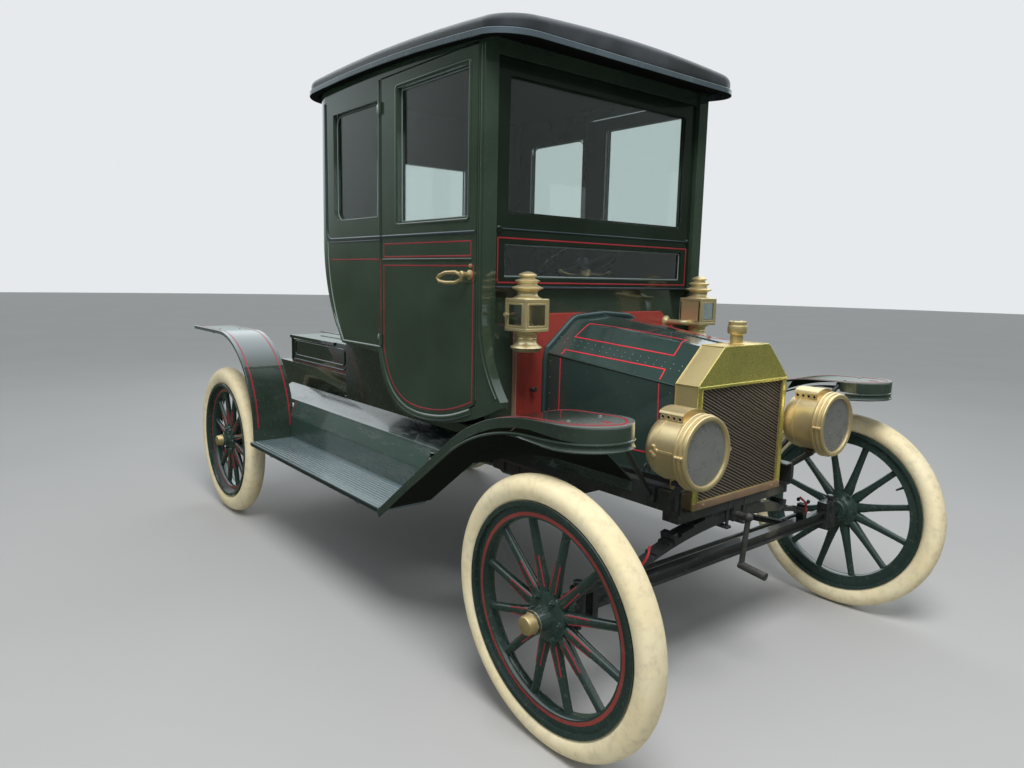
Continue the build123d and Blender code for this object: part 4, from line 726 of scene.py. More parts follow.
line_section = oblong(0.0021, 0.0006, 0.0004, 1)
slope_out = np.array([0.0, -0.7, 0.71])
upper = [(0.882, 0.534), (0.876, 0.65), (0.87, 0.78), (0.864, 0.88), (0.86, 0.96)]
upper += [(0.86 - 0.7 * k, 0.96 + 0.43 * k) for k in (0.1, 0.2, 0.3, 0.4, 0.5, 0.6, 0.7, 0.8, 0.9, 1.0)]
upper += [(0.152, 1.25), (0.143, 1.12), (0.135, 1.03), (0.131, 0.97), (0.128, 0.9), (0.125, 0.78), (0.125, 0.645)]
upper += [(0.125 + k * (0.882 - 0.125), 0.645 + k * (0.534 - 0.645)) for k in (0.25, 0.5, 0.75)]
upper_path = np.array([leaf_point(f, s) for f, s in upper])
upper_out = np.array([leaf_edge(FRONT, s)[1] for f, s in upper])
lower_f = np.linspace(0.875, 0.118, 6)
lower_path = np.array([leaf_point(0.876, 0.02), *[leaf_point(f, 0.158 + (0.877 - f) / 0.752 * 0.123)
    for f in lower_f], leaf_point(0.108, 0.02)])
side_path = bend(side_point(0.876, 0.01), side_point(0.88, 0.285), side_point(0.1, 0.235),
    side_point(0.108, 0.01), rounding=0.008)
rivet_f = np.linspace(0.03, 0.985, 17)
rows_on_slope = [leaf_point(f, e, 0.0) for e in (0.33, 0.45) for f in rivet_f]
rows_on_side = [side_point(0.965, d, 0.0) for d in np.linspace(0.03, 0.32, 6)]
rows_on_side += [side_point(0.03, d, 0.0) for d in np.linspace(0.03, 0.27, 5)]
for tag in ("right", "left"):
    dressed(f"hood_side_{tag}", 0.0012, hood_green)
    dressed(f"hood_top_{tag}", 0.001, hood_green, join=0.15)
pair("hood_top_lines", [swept(line_section, upper_path, upper_out, True), swept(line_section, lower_path, slope_out)],
    bright_red, "hood_paint", "hood_top_")
pair("hood_side_lines", [swept(line_section, side_path, RIGHT)], bright_red, "hood_paint", "hood_side_")
pair("hood_top_rivets", dots(rows_on_slope, [slope_out] * len(rows_on_slope)), chips, "hood_paint", "hood_top_")
pair("hood_side_rivets", dots(rows_on_side, [RIGHT] * len(rows_on_side)), chips, "hood_paint", "hood_side_")
# spring catches hold each side leaf to the shelf on the rail
SHELF_Z = 0.672
catch = []
for f in (0.16, 0.84):
    foot = side_point(f, FRONT["s"] + f * (REAR["s"] - FRONT["s"]) - SHELF_Z)
    catch.append(plate(oblong(0.012, 0.02, 0.004), foot + [0, 0.001, 0], (-1, 0, 0), UP, 0.004))
    catch.append(bar(0.0028, foot + [0, -0.003, 0.012], foot + [0, -0.016, 0.004],
        foot + [0, -0.014, -0.012], rounding=0.006))
pair("hood_catches", catch, enamel, "hood_paint", "hood_side_")
# knuckles of the long hinge along the ridge
knuckles = []
ridge_a, ridge_b = np.array([FRONT["x"], 0, 1.0635]), np.array([REAR["x"], 0, 1.1265])
for k in np.linspace(0.0, 0.985, 34):
    a = ridge_a + k * (ridge_b - ridge_a)
    knuckles.append(turned(mm((0, 0), (4.6, 0), (5.1, 0.6), (5.1, 11.5), (4.6, 12), (0, 12)), a,
        ridge_b - ridge_a, 10))
made("hood_ridge_hinge", knuckles, enamel, "chassis_black")

# Dash. A cherry board behind the engine, varnished brick red, with pale worn edges, and the rounded
# ledge moulding that the hood closes on.
dash_red = Finish("dash_red", Roughness=0.34, Coat_Weight=0.35, Coat_Roughness=0.15)
x, y, z = dash_red.xyz()
grain = dash_red.noise(60.0, 5.0, stretch=(1.0, 8.0, 0.6)).soft(0.35, 0.7)
worn = abs(y).soft(0.4185, 0.4205)
tint = dash_red.mix(grain * 0.6, (0.34, 0.045, 0.034), (0.25, 0.032, 0.024))
dash_red.tint(worn * 0.8, tint, (0.42, 0.28, 0.2), Roughness=0.3 + 0.2 * grain)
dash_red.bump(grain, 0.0004)
dressed("firewall", 0.002, dash_red)
ledge_green = paint("ledge_green", (0.02, 0.04, 0.04), 0.16, 1.0, dirt=0.1)
LEDGE_X = FX - 0.5995
ledge = [np.array([LEDGE_X, -REAR["h"] - 0.006, z]) for z in (0.655, 0.75, 0.85, 0.94, 0.975)]
for s in (0.06, 0.12, 0.3, 0.5, 0.7, 0.85, 0.93, 1.0, 1.07, 1.15, 1.4, 1.7, 1.999):
    p, out = leaf_edge(REAR, s)
    ledge.append(np.array([LEDGE_X, p[1], p[2]]) + 0.007 * out)
over = np.vstack([ledge, np.array(ledge)[-2::-1] * [1, -1, 1]])
made("dash_ledge", [swept(round_section(0.0105, 14), over, AHEAD)], ledge_green, "hood_paint")
knob = mm((0, -2), (4, -2), (4, 10), (9, 14), (10.5, 20), (8, 25), (0, 27))
made("dash_knobs", [turned(knob, (FX - 0.602, y, 0.872), AHEAD, 16) for y in (-0.352, 0.352)],
    enamel, "chassis_black")

# Cab. A wood body skinned in sheet, high and narrow, its doors hung at the rear edge; varnished
# green-black with half-round mouldings at the sills and thin coach lines painted in red.
body_green = paint("body_green", (0.0245, 0.04, 0.0265), 0.1, 1.0, dirt=0.3)
# inside the cab the same panels are painted a dull near-black: painted shade in the closed cab
x, y, z = body_green.xyz()
shaded_inside = (abs(y) < 0.5385) * (x > -0.56) * (x < 0.66) * (z > 0.7)
worn = [Num(body_green, body_green.shader.inputs[s].links[0].from_socket) for s in ("Base Color", "Roughness")]
body_green.tint(shaded_inside, worn[0], (0.01, 0.011, 0.01), Roughness=worn[1] * (1.0 - shaded_inside) + shaded_inside * 0.9,
    Coat_Weight=1.0 - shaded_inside)
coach_red = paint("coach_red_line", (0.27, 0.014, 0.024), 0.35, 0.5, dirt=0.15)
# the rounded mouldings are tinted blue-grey: a painted reflection of the sky on their rounded tops
sky_tinted_moulding = paint("sill_moulding", (0.024, 0.034, 0.042), 0.18, 0.5, dirt=0.1)
pale_bead = paint("glazing_bead", (0.16, 0.2, 0.19), 0.3, 0.6, dirt=0.2)
SIDE = -0.575
for name, width in (("cab_side_right", 0.0015), ("cab_side_left", 0.0015), ("cab_back", 0.0012),
        ("cab_front", 0.0012), ("door_right", 0.003), ("door_left", 0.003)):
    dressed(name, width, body_green)


def arc(p, m, q, steps=12):
    """Points of the circle through p, m and q, from p to q, in a plane."""
    p, m, q = (np.asarray(v, float) for v in (p, m, q))
    a = np.array([m - p, q - p])
    centre = p + np.linalg.solve(a, (a ** 2).sum(1) / 2)
    angles = [math.atan2(*(v - centre)[::-1]) for v in (p, m, q)]
    full = (angles[2] - angles[0]) % (2 * math.pi)
    if (angles[1] - angles[0]) % (2 * math.pi) > full:
        full -= 2 * math.pi
    t = angles[0] + np.linspace(0, 1, steps) * full
    return centre + np.linalg.norm(p - centre) * np.stack([np.cos(t), np.sin(t)], 1)


def inset(points, by):
    """Plane points moved to their left by a distance, square to the local run."""
    run = np.gradient(points, axis=0)
    run /= np.linalg.norm(run, axis=1, keepdims=True)
    return points + by * np.stack([-run[:, 1], run[:, 0]], 1)


def on_side(xz, y=SIDE):
    """Plane points (x, z) laid on the upright side face at y."""
    xz = np.asarray(xz, float)
    return np.stack([xz[:, 0], np.full(len(xz), y), xz[:, 1]], 1)


def framed(x0, x1, z0, z1, radius=0.006, steps=4):
    """The outline of a rectangle with round corners as plane points."""
    return oblong((x1 - x0) / 2, (z1 - z0) / 2, radius, steps) + [(x0 + x1) / 2, (z0 + z1) / 2]


line = oblong(0.0024, 0.0005, 0.0004, 1)
half_round = mm((6, -1), (6, 1.5), (4.5, 4.2), (2, 5.5), (-2, 5.5), (-4.5, 4.2), (-6, 1.5), (-6, -1))


def bead(points, wide=1.0, high=1.0, closed=False, y=SIDE):
    """A half-round moulding along plane points (x, z) of the side face at y."""
    return swept(half_round * [wide, high], on_side(points, y), RIGHT, closed)


def coach_line(points, closed=False, y=SIDE):
    """A painted line along plane points (x, z) of the side face at y."""
    return swept(line, on_side(points, y), RIGHT, closed)


door_foot = np.vstack([arc((0.6695, 0.83), (0.4665, 0.764), (0.3065, 0.757), 14),
    arc((0.3065, 0.757), (0.1085, 0.822), (0.0445, 0.975), 16)[1:]])
for again in range(16):  # the two arcs run into one another without a corner
    door_foot[1:-1] = (door_foot[:-2] + 2 * door_foot[1:-1] + door_foot[2:]) / 4
foot_line = inset(door_foot[::-1], 0.0125)[::-1]
foot_line = foot_line[foot_line[:, 0] < 0.64]
door_line = np.vstack([[(0.655, 1.298), (0.655, foot_line[0, 1] + 0.006)], foot_line, [(0.057, 1.1), (0.057, 1.298)]])
rear_tuck = arc((-0.4505, 1.4), (-0.413, 1.165), (-0.3085, 0.966), 10)
quarter_line = mm((-418, 1322), (33, 1322), (33, 990))
pillar_a = np.vstack([[(0.6925, 2.0), (0.6925, 1.165)], arc((0.6925, 1.16), (0.7225, 0.975), (0.79, 0.866), 10)])
pillar_b = mm((678.5, 2010), (678.5, 850), (679, 848))
sill_run = bend((0.0395, 1.409), (-0.447, 1.409), (-0.447, 1.985), rounding=0.055, steps=8)
quarter_bead = [(0.037, 0.9705), (-0.3, 0.9705)]
under_door = inset(door_foot[::-1], -0.0165)[::-1]
under_door = under_door[under_door[:, 0] < 0.655]
loop = mm((634, 1266), (600, 1276), (545, 1274), (503, 1264), (490, 1254), (503, 1244), (545, 1240),
    (600, 1241), (630, 1252))
pair("door_lines", [coach_line(door_line, closed=True), coach_line(framed(0.058, 0.64, 1.331, 1.38, 0.003, 2),
    closed=True)], coach_red, "body_paint", "door_")
pair("quarter_lines", [coach_line(quarter_line)], coach_red, "body_paint")
pair("door_mouldings", [bead([(0.05, 1.409), (0.664, 1.409)])], sky_tinted_moulding, "body_paint", "door_")
pair("door_window_frame", [bead(framed(0.1535, 0.6265, 1.45, 1.956, 0.012), 1.0, 0.7, closed=True),
    bead([(0.052, 1.3205), (0.648, 1.3205)], 0.6, 0.7)], body_green, "body_paint", "door_")
pair("door_glazing", [bead(framed(0.1665, 0.6135, 1.463, 1.943, 0.008), 0.42, 0.42, closed=True, y=-0.5563)],
    pale_bead, "body_paint", "door_")
pair("quarter_mouldings", [bead(sill_run), bead(sill_run - [0, 0.013], 0.6, 0.6)], sky_tinted_moulding, "body_paint")
pair("quarter_glazing", [bead(framed(-0.3705, 0.0065, 1.49, 1.925, 0.045, 8), 0.42, 0.42, closed=True, y=-0.5563),
    bead(inset(rear_tuck, 0.012), 0.45, 0.45)], pale_bead, "body_paint")
pair("body_beads", [bead(quarter_bead, 1.2, 1.0), bead(under_door, 1.9, 1.3), bead(pillar_a, 0.55, 0.7),
    bead(pillar_b, 0.5, 0.7), bead([(0.027, 2.0), (0.027, 1.0)], 0.9, 0.8)], body_green, "body_paint")
handle_at = [(x, SIDE - 0.03 - 0.006 * math.sin((0.634 - x) * 20), z) for x, z in loop]
pair("door_handle", [swept(round_section(0.0062, 10), handle_at, RIGHT, True),
    turned(mm((0, -1), (17, -1), (16.5, 3), (10.5, 6), (8.5, 12), (9, 26), (12.5, 30), (13, 36), (9, 40), (0, 41)),
    (0.637, SIDE, 1.268), RIGHT, 24), turned(mm((0, -1), (7.5, -1), (7, 3), (0, 4.5)), (0.64, SIDE, 1.298), RIGHT,
    14)], brass, "brass", "door_")
# screws of the butt hinges
screws = [turned(mm((0, -0.5), (3.2, -0.5), (2.8, 1), (0, 1.4)), (0.0205, SIDE, z + dz), RIGHT, 8)
    for z in (1.05, 1.85) for dz in (-0.03, 0.0, 0.03)]
pair("hinge_screws", screws, brass, "body_paint")

# Windshield. Two panes in a dark green wood sash between the pillars, with a bead between them, a
# fine red line round the lower one and a round-nosed ledge under it.
frame_green = paint("sash_green", (0.007, 0.0125, 0.008), 0.16, 0.6, dirt=0.1)
dressed("windshield_frame", 0.0015, frame_green)
SASH = 0.6895


def on_front(yz, x=SASH):
    """Plane points (y, z) laid on the upright front face at x."""
    yz = np.asarray(yz, float)
    return np.stack([np.full(len(yz), x), yz[:, 0], yz[:, 1]], 1)


made("windshield_bead", [swept(half_round * [0.5, 0.6], on_front([(-0.512, 1.4235), (0.512, 1.4235)]), AHEAD)],
    sky_tinted_moulding, "frame_wood")
made("windshield_line", [swept(line, on_front(framed(-0.5, 0.5, 1.2445, 1.3935, 0.003, 2)), AHEAD, True)],
    coach_red, "frame_wood")
made("windshield_glazing",
    [swept(half_round * 0.42, on_front(framed(-0.4665, 0.4665, 1.2655, 1.3725, 0.003, 2), 0.6798), AHEAD, True)],
    pale_bead, "frame_wood")
made("windshield_glazing_dark",
    [swept(half_round * 0.45, on_front(framed(-0.453, 0.453, 1.48, 1.912, 0.004, 2), 0.6798), AHEAD, True)],
    frame_green, "frame_wood")
ledge_nose = mm((4.5, -18), (4.5, 8), (3.8, 12.5), (1.8, 15), (-1.8, 15), (-3.8, 12.5), (-4.5, 8), (-4.5, -18))
made("windshield_ledge", [swept(ledge_nose, [(0.694, -0.5185, 1.2288), (0.694, 0.5185, 1.2288)], AHEAD)],
    sky_tinted_moulding, "body_paint")
# painted nuts on the swinging sash's side pivots and the rail under the ledge
fittings = []
for s in (-1, 1):
    fittings.append(turned(mm((0, -1), (10, -1), (10, 4), (5, 8), (5, 14), (0, 15)),
        (SASH, s * 0.4985, 1.4235), AHEAD, 16))
    for z in (1.262, 1.95):
        fittings.append(turned(mm((0, -0.5), (4, -0.5), (3.5, 1.2), (0, 1.8)), (SASH, s * 0.508, z), AHEAD, 8))
made("windshield_fittings", fittings, frame_green, "frame_wood")

# Glass. Thin drawn panes, faintly green and not perfectly flat.
pane = Finish("window_glass", Base_Color=(0.74, 0.82, 0.8, 1.0), Roughness=0.0, Transmission_Weight=1.0, IOR=1.46)
smear = pane.noise(9.0, 5.0).soft(0.5, 0.85)
pane.feed(Roughness=0.02 * smear)
pane.bump(pane.noise(4.0, 1.0), 0.0006)
coat(pane, "windshield_glass", "door_glass_right", "door_glass_left", "cab_glass")

# Roof. Painted canvas drawn tight over a crowned wood top, tacked under a drip moulding all round.
# faces of the roof and its drip that look down are painted near-black: painted shade under the overhang
roof_shade = Finish("roof_underside_shade", Specular_IOR_Level=0.2)
threads = roof_shade.noise(300.0, 3.0)
roof_shade.tint(threads, (0.005, 0.0055, 0.005), (0.011, 0.012, 0.011), Roughness=0.8 + 0.1 * threads)
roof_cover = Finish("roof_cover", Roughness=0.42, Coat_Weight=0.35, Coat_Roughness=0.25)
weave = roof_cover.noise(900.0, 2.0)
age = roof_cover.noise(5.0, 5.0).soft(0.35, 0.75)
roof_cover.tint(age, (0.02, 0.022, 0.025), (0.055, 0.06, 0.068), Roughness=0.36 + 0.2 * age)
roof_cover.bump(weave * 0.4 + roof_cover.noise(11.0, 3.0) * 0.6, 0.0008)
dressed("roof", 0.004, roof_cover, 3, under=roof_shade)
drip_blue = paint("drip_paint", (0.052, 0.07, 0.082), 0.24, 0.6, dirt=0.1)
dressed("roof_drip", 0.003, drip_blue, 3, under=roof_shade)

# Lower body and deck. The floor pan's side sheets under the cab, a platform behind it, and a square
# tool box with a hinged lid; panelled with a rounded moulding and a red line under the box.
lower_green = paint("lower_green", (0.015, 0.0205, 0.013), 0.2, 0.9, dirt=0.5)
dressed("lower_body", 0.0015, lower_green)
deck_green = paint("deck_green", (0.008, 0.013, 0.0115), 0.14, 1.0, dirt=0.4)
dressed("deck_box", 0.002, deck_green)
dressed("deck_lid", 0.0025, deck_green)
BOX_Y = -0.462
front_corner = bend((-1.105, 0.8065), (-0.49, 0.8065), (-0.49, 0.912), rounding=0.055, steps=8)
panel = framed(-1.085, -0.515, 0.83, 0.905, 0.02, 5)
under_line = bend((-1.12, 0.797), (-0.4795, 0.797), (-0.4795, 0.91), rounding=0.06, steps=8)
pair("deck_mouldings", [bead(front_corner, 0.8, 0.9, y=BOX_Y)], sky_tinted_moulding, "body_paint")
pair("deck_panel", [bead(panel, 0.6, 0.8, closed=True, y=BOX_Y), bead([(-1.122, 0.8), (-1.122, 0.925)], 1.4, 1.2,
    y=BOX_Y)], deck_green, "body_paint")
pair("deck_line", [coach_line(under_line, y=BOX_Y)], coach_red, "body_paint")
# the hasp and its staple on the lid's rear edge
hasp = [plate(oblong(0.016, 0.024, 0.006), (-1.1345, 0.0, 0.885), RIGHT, UP, 0.003),
    bar(0.003, (-1.136, -0.008, 0.876), (-1.15, -0.008, 0.876), (-1.15, 0.008, 0.876), (-1.136, 0.008, 0.876),
    rounding=0.006, up=UP)]
made("deck_hasp", hasp, brass, "body_paint")
slats = [swept(oblong(0.0045, 0.0022, 0.0015, 2), [(-1.125, y, 0.9437), (-0.64, y, 0.9437)], UP)
    for y in (-0.3, -0.1, 0.1, 0.3)]
made("deck_lid_strips", slats, steel, "body_paint", "deck_lid")

# Fenders. Rolled sheet steel, flat across the top with a turned-down lip and a wired edge; each
# front one ends in a round bill. Black-green enamel with a red line along each side.
fender_green = paint("fender_green", (0.02, 0.032, 0.024), 0.17, 1.0, dirt=0.3)
# the highest parts are painted pale: a painted reflection of the sky on the tops, with some road dust
x, y, z = fender_green.xyz()
base = Num(fender_green, fender_green.shader.inputs["Base Color"].links[0].from_socket)
ahead = x.soft(-0.2, 0.2)
highest = (1.0 - ahead) * z.soft(0.8, 0.905) + ahead * z.soft(0.903, 0.912)
sky_sheen_and_dust = highest * (0.8 + 0.2 * fender_green.noise(12.0, 4.0))
pale = fender_green.mix(x.soft(-0.9, 0.4), (0.15, 0.185, 0.19), (0.225, 0.248, 0.236))
fender_green.tint(sky_sheen_and_dust, base, pale)
# faces of the fenders that look down are painted near-black and mottled: painted shade under the wings
fender_shade = Finish("fender_underside_shade", Specular_IOR_Level=0.3)
shade_mottle = fender_shade.noise(70.0, 5.0)
fender_shade.tint(shade_mottle, (0.006, 0.0065, 0.006), (0.016, 0.017, 0.015), Roughness=0.6 + 0.3 * shade_mottle)
fender_shade.bump(shade_mottle, 0.0008)
for name in ("front_fenders", "rear_fenders"):
    dressed(name, 0.0012, fender_green, join=0.1, under=fender_shade)


def fender_top(x):
    """Height of the front fender's top: a straight foot, a crown of radius 0.652, a level bill."""
    u = np.asarray(x, float) - FX
    crown = 0.2514 + np.sqrt(np.maximum(0.652 ** 2 - (u + 0.0375) ** 2, 0))
    return np.where(u < -0.43, 0.444 + (u + 0.865) * 0.754, np.where(u < -0.06, crown, 0.903 + (u + 0.06) * 0.0468))


def over_fender(x, y, lift=0.0):
    """Points on top of the right front fender with their outward way."""
    x = np.asarray(x, float)
    slope = (fender_top(x + 0.002) - fender_top(x - 0.002)) / 0.004
    out = np.stack([-slope, 0 * x, 1 + 0 * x], 1)
    out /= np.linalg.norm(out, axis=1, keepdims=True)
    return np.stack([x, np.broadcast_to(y, x.shape), fender_top(x)], 1) + lift * out, out


along = np.concatenate([[0.452], np.linspace(0.6, 0.86, 4), np.linspace(0.885, 1.24, 16), [1.3, 1.345]])
half_turn = np.linspace(0, math.pi, 21)[1:-1]
wide_line = oblong(0.0034, 0.0005, 0.0004, 1)
GAP, OUTER_Y, INNER_Y = 0.022, -0.825, -0.6  # a stripe's distance from the sheet's sides, and these
BILL_X, BILL_LONG, BILL_HALF = 1.3465, 0.128, 0.1125
middle, reach = (OUTER_Y + INNER_Y) / 2, (INNER_Y - OUTER_Y) / 2 - GAP
bill_x = BILL_X + (BILL_LONG - GAP) * np.sin(half_turn) * (1 + 0.1 * np.sin(half_turn) ** 8)
xs = np.concatenate([along, bill_x, along[::-1]])
ys = np.concatenate([np.full(len(along), OUTER_Y + GAP), middle - reach * np.cos(half_turn),
    np.full(len(along), INNER_Y - GAP)])
stripe_path, stripe_out = over_fender(xs, ys, 0.0004)
bill_x = BILL_X + BILL_LONG * np.sin(half_turn)
xs = np.concatenate([along, bill_x, along[::-1]])
ys = np.concatenate([np.full(len(along), OUTER_Y), middle - BILL_HALF * np.cos(half_turn),
    np.full(len(along), INNER_Y)])
rim_path = over_fender(xs, ys)[0]
lip = np.interp(xs, [0.4415, 1.3], [0.028, 0.048])
outer_half = ys < INNER_Y - 0.001
wire = rim_path[outer_half] - np.array(UP) * (lip[outer_half, None] - 0.002)
wire[:, 2] = np.maximum(wire[:, 2], 0.4265)
wire = wire[2:]
# the bill's lip grows deeper round its nose and is rolled outwards along its foot
nose = outer_half & (xs > 1.13)
nose_path = rim_path[nose] - np.array(UP) * lip[nose, None]
deep = 0.019 * np.interp(xs[nose], [1.13, 1.34], [0.0, 1.0]) ** 0.7
away = nose_path - [BILL_X, middle, 0]
away[:, 0] = np.maximum(away[:, 0], 0) / BILL_LONG ** 2
away[:, 1] /= BILL_HALF ** 2
away[:, 2] = 0
away /= np.linalg.norm(away, axis=1, keepdims=True)
skirt = np.stack([nose_path + away * (o - 0.0015) + np.array(UP) * (0.003 - d * deep[:, None])
    for o, d in ((0.0, 0.0), (0.001, 0.5), (0.003, 0.85), (0.0052, 1.0), (0.0052, 1.12), (0.003, 1.2), (0.0008, 1.1),
    (-0.0008, 0.85), (-0.0016, 0.5), (-0.0016, 0.0))], 1)
# a small leaf painted on the bill's nose
LEAF_X = 1.398
leaf = mm((0, 0), (10, 7), (22, 4), (34, 0), (22, -4), (10, -7))
# the rear fender: a level tail and an arc of radius 0.47, its stripe open at the foot
REAR_R, REAR_MID, REAR_TOP, REAR_OUTER_Y = 0.47, -1.2635, 0.953, -0.802
fall = np.linspace(0.06, 1.5, 22)
rear_x = np.concatenate([np.linspace(-1.668, REAR_MID, 8), REAR_MID + REAR_R * np.sin(fall)])
rear_z = np.concatenate([np.full(8, REAR_TOP), REAR_TOP - REAR_R + REAR_R * np.cos(fall)])
rear_out = np.concatenate([np.tile([0.0, 0.0, 1.0], (8, 1)), np.stack([np.sin(fall), 0 * fall, np.cos(fall)], 1)])
rear_path = np.vstack([np.stack([rear_x, np.full(30, REAR_OUTER_Y + GAP), rear_z], 1)[::-1],
    np.stack([rear_x, np.full(30, INNER_Y - GAP), rear_z], 1)])
rear_both = np.vstack([rear_out[::-1], rear_out])
rear_wire = np.stack([np.concatenate([[-1.686], rear_x[1:], [-0.7945]]), np.full(31, REAR_OUTER_Y),
    np.concatenate([rear_z, [0.46]])], 1)
pair("front_fender_lines", [swept(wide_line, stripe_path, stripe_out, True),
    plate(leaf, (LEAF_X, middle, float(fender_top(LEAF_X)) - 0.0004), (1, 0, 0.0468), LEFT, 0.0014, 0.0004)],
    coach_red, "fender_paint")
pair("front_fender_wire", [swept(round_section(0.0038, 8), wire, UP), (skirt, False, True)],
    fender_green, "fender_paint")
pair("rear_fender_lines", [swept(wide_line, rear_path + 0.0004 * rear_both, rear_both)], coach_red, "fender_paint")
pair("rear_fender_bead", [swept(round_section(0.003, 8), rear_wire, RIGHT)], fender_green, "fender_paint")
# round-headed bolts that hold the irons under the sheet
tops, ways = over_fender(np.array([FX + 0.03, FX + 0.03, FX - 0.33, FX - 0.33]),
    np.array([-0.655, -0.77, -0.655, -0.77]))
head = mm((0, -1), (6, -1), (5.2, 1.8), (3, 3), (0, 3.4))
bolts = [turned(head, p, w, 10) for p, w in zip(tops, ways)]
bolts += [turned(head, (FX - 2.7, y, REAR_TOP), UP, 10) for y in (-0.65, -0.755)]
pair("fender_bolts", bolts, fender_green, "fender_paint")

# Running boards and aprons. Pressed steel boards with lengthwise ribs and a turned edge, and sheet
# aprons rising from them to the frame, creased along the middle.
board_grey = Finish("board_enamel", Roughness=0.26, Coat_Weight=0.9, Coat_Roughness=0.08)
x, y, z = board_grey.xyz()
worn = board_grey.noise(22.0, 6.0, stretch=(0.25, 1.0, 1.0), rough=0.62).soft(0.45, 0.75)
# the boards' upward faces are painted pale blue-grey: a painted reflection of the sky
sky_tinted_board_top = abs(y).soft(0.618, 0.622) * (z < 0.46)
# above this height, under the body, the aprons are painted near-black: painted shade
high = z.soft(0.625, 0.652)
low_tint = board_grey.mix(sky_tinted_board_top, (0.045, 0.078, 0.066), (0.15, 0.205, 0.22))
tint = board_grey.mix(high, low_tint, (0.01, 0.015, 0.015))
board_grey.tint(worn * 0.45, tint, (0.17, 0.18, 0.17), Roughness=0.2 + 0.3 * worn)
board_grey.bump(board_grey.noise(8.0, 3.0) * 0.8 + worn * 0.2, 0.001)
dressed("running_boards", 0.002, board_grey)
dressed("splash_aprons", 0.0015, board_grey)
rib = mm((3.5, -1), (3, 0.8), (1.6, 1.9), (-1.6, 1.9), (-3, 0.8), (-3.5, -1))
trim = metal("board_trim", (0.07, 0.085, 0.09), 0.32, (0.05, 0.06, 0.06), 0.5)
ribs = [swept(rib, [(-0.775, y, 0.455), (0.424, y, 0.455)], UP) for y in np.linspace(-0.8, -0.645, 11)]
pair("board_ribs", ribs, board_grey, "board_paint")
# the apron's nose runs on to the slope of the front fender
profile = mm((-498.5, 689), (-596, 640), (-621, 560), (-621, 548))
reach = 0.4415 + (profile[:, 1] - 0.444) / 0.754 - 0.004
nose = np.array([[[x, y, z] for x in np.linspace(0.58, max(r, 0.581), 6)] for (y, z), r in zip(profile, reach)])
edge_rows = np.concatenate([nose, (nose + [0.0, 0.0015, -0.0015])[::-1]])
pair("apron_nose",
    [(np.concatenate([np.broadcast_to(edge_rows[:, :1].mean(0)[None], (8, 1, 3)), edge_rows,
    np.broadcast_to(edge_rows[:, -1:].mean(0)[None], (8, 1, 3))], 1), True, False)], board_grey, "board_paint")
pair("board_edge", [swept(half_round * [1.4, 0.7], [(-0.7915, -0.8195, 0.445), (0.4395, -0.8195, 0.445)], RIGHT)],
    trim, "board_paint")

# Headlamps. Gas lamps of spun and soldered brass: a drum with a rounded back, stepped door rings
# round a flat glass, an arched vent box on top with round holes along its sides.
lamp_brass = metal("lamp_brass", (0.94, 0.75, 0.42), 0.3, (0.76, 0.58, 0.3), 0.45, 0.0004)
silver = metal("reflector_silver", (0.7, 0.7, 0.66), 0.22, (0.45, 0.44, 0.38), 0.5)
# a near-black finish for the vent holes: painted shade inside them
hole_shade = Finish("vent_hole_shade", Base_Color=(0.006, 0.005, 0.004, 1.0), Roughness=0.9)
hole_shade.feed(Roughness=0.8 + 0.1 * hole_shade.noise(40.0))
frost = Finish("lamp_glass", Roughness=0.3, Transmission_Weight=0.55, IOR=1.46, Coat_Weight=0.6)
mist = frost.noise(26.0, 5.0).soft(0.3, 0.8)
frost.tint(mist, (0.3, 0.31, 0.29), (0.345, 0.355, 0.335), Roughness=0.22 + 0.3 * mist)
coat(frost, "headlamp_glass")
drum = mm((91, 1456), (91, 1463.5), (92.5, 1468), (96, 1470.2), (101, 1470.4), (105, 1468.5), (106.8, 1465),
    (106.2, 1461), (104, 1459), (104, 1457.5), (107.8, 1456), (110, 1453), (110.4, 1450), (109.2, 1447), (106, 1445),
    (105, 1443.5), (106, 1442), (109.8, 1440.5), (111.2, 1437.5), (110.8, 1434.5), (108.5, 1431.5), (103, 1429.5),
    (96, 1428.5), (94, 1427), (94, 1359), (95.6, 1358), (96, 1355.5), (95.6, 1353), (94, 1352), (93.8, 1345),
    (92.5, 1336), (89, 1325), (83, 1316), (74, 1310.5), (63, 1308.7), (20, 1308.5), (0, 1308.5), (0, 1310),
    (60, 1310.5), (80, 1318), (90, 1340), (90.5, 1440), (91, 1456))
dish_r = np.linspace(0.0, 0.0895, 12)
dish = [(r, 1.38 + 0.074 * (r / 0.0895) ** 2) for r in dish_r]
dish += [(r, h - 0.0015) for r, h in dish[::-1]]
arch_a = np.linspace(0, math.pi, 13)
vent_outline = np.vstack([[(0.047, 0.05)], np.stack([0.047 * np.cos(arch_a), 0.101 + 0.016 * np.sin(arch_a)],
    1), [(-0.047, 0.05)]])
lid_outline = np.vstack([np.stack([0.0495 * np.cos(arch_a), 0.101 + 0.0178 * np.sin(arch_a)], 1),
    np.stack([0.0468 * np.cos(arch_a), 0.1005 + 0.016 * np.sin(arch_a)], 1)[::-1]])
VENT_X, VENT_Z = np.linspace(1.344, 1.404, 4), 0.092
at = np.array([0.0, -0.36, 0.791])
shell = [turned(drum, at, AHEAD, 72), plate(vent_outline, at + [1.3335, 0, 0], LEFT, UP, 0.081, 0.001)]
edge_line = np.vstack([lid_outline[:13], lid_outline[12::-1]])
shell.append((np.stack([at + np.array([x, 0, 0]) + o[:, :1] * [0, 1, 0] + o[:, 1:] * [0, 0, 1]
    for x, o in ((1.331, edge_line), (1.331, lid_outline), (1.4165, lid_outline), (1.4165, edge_line))]), False,
    True))
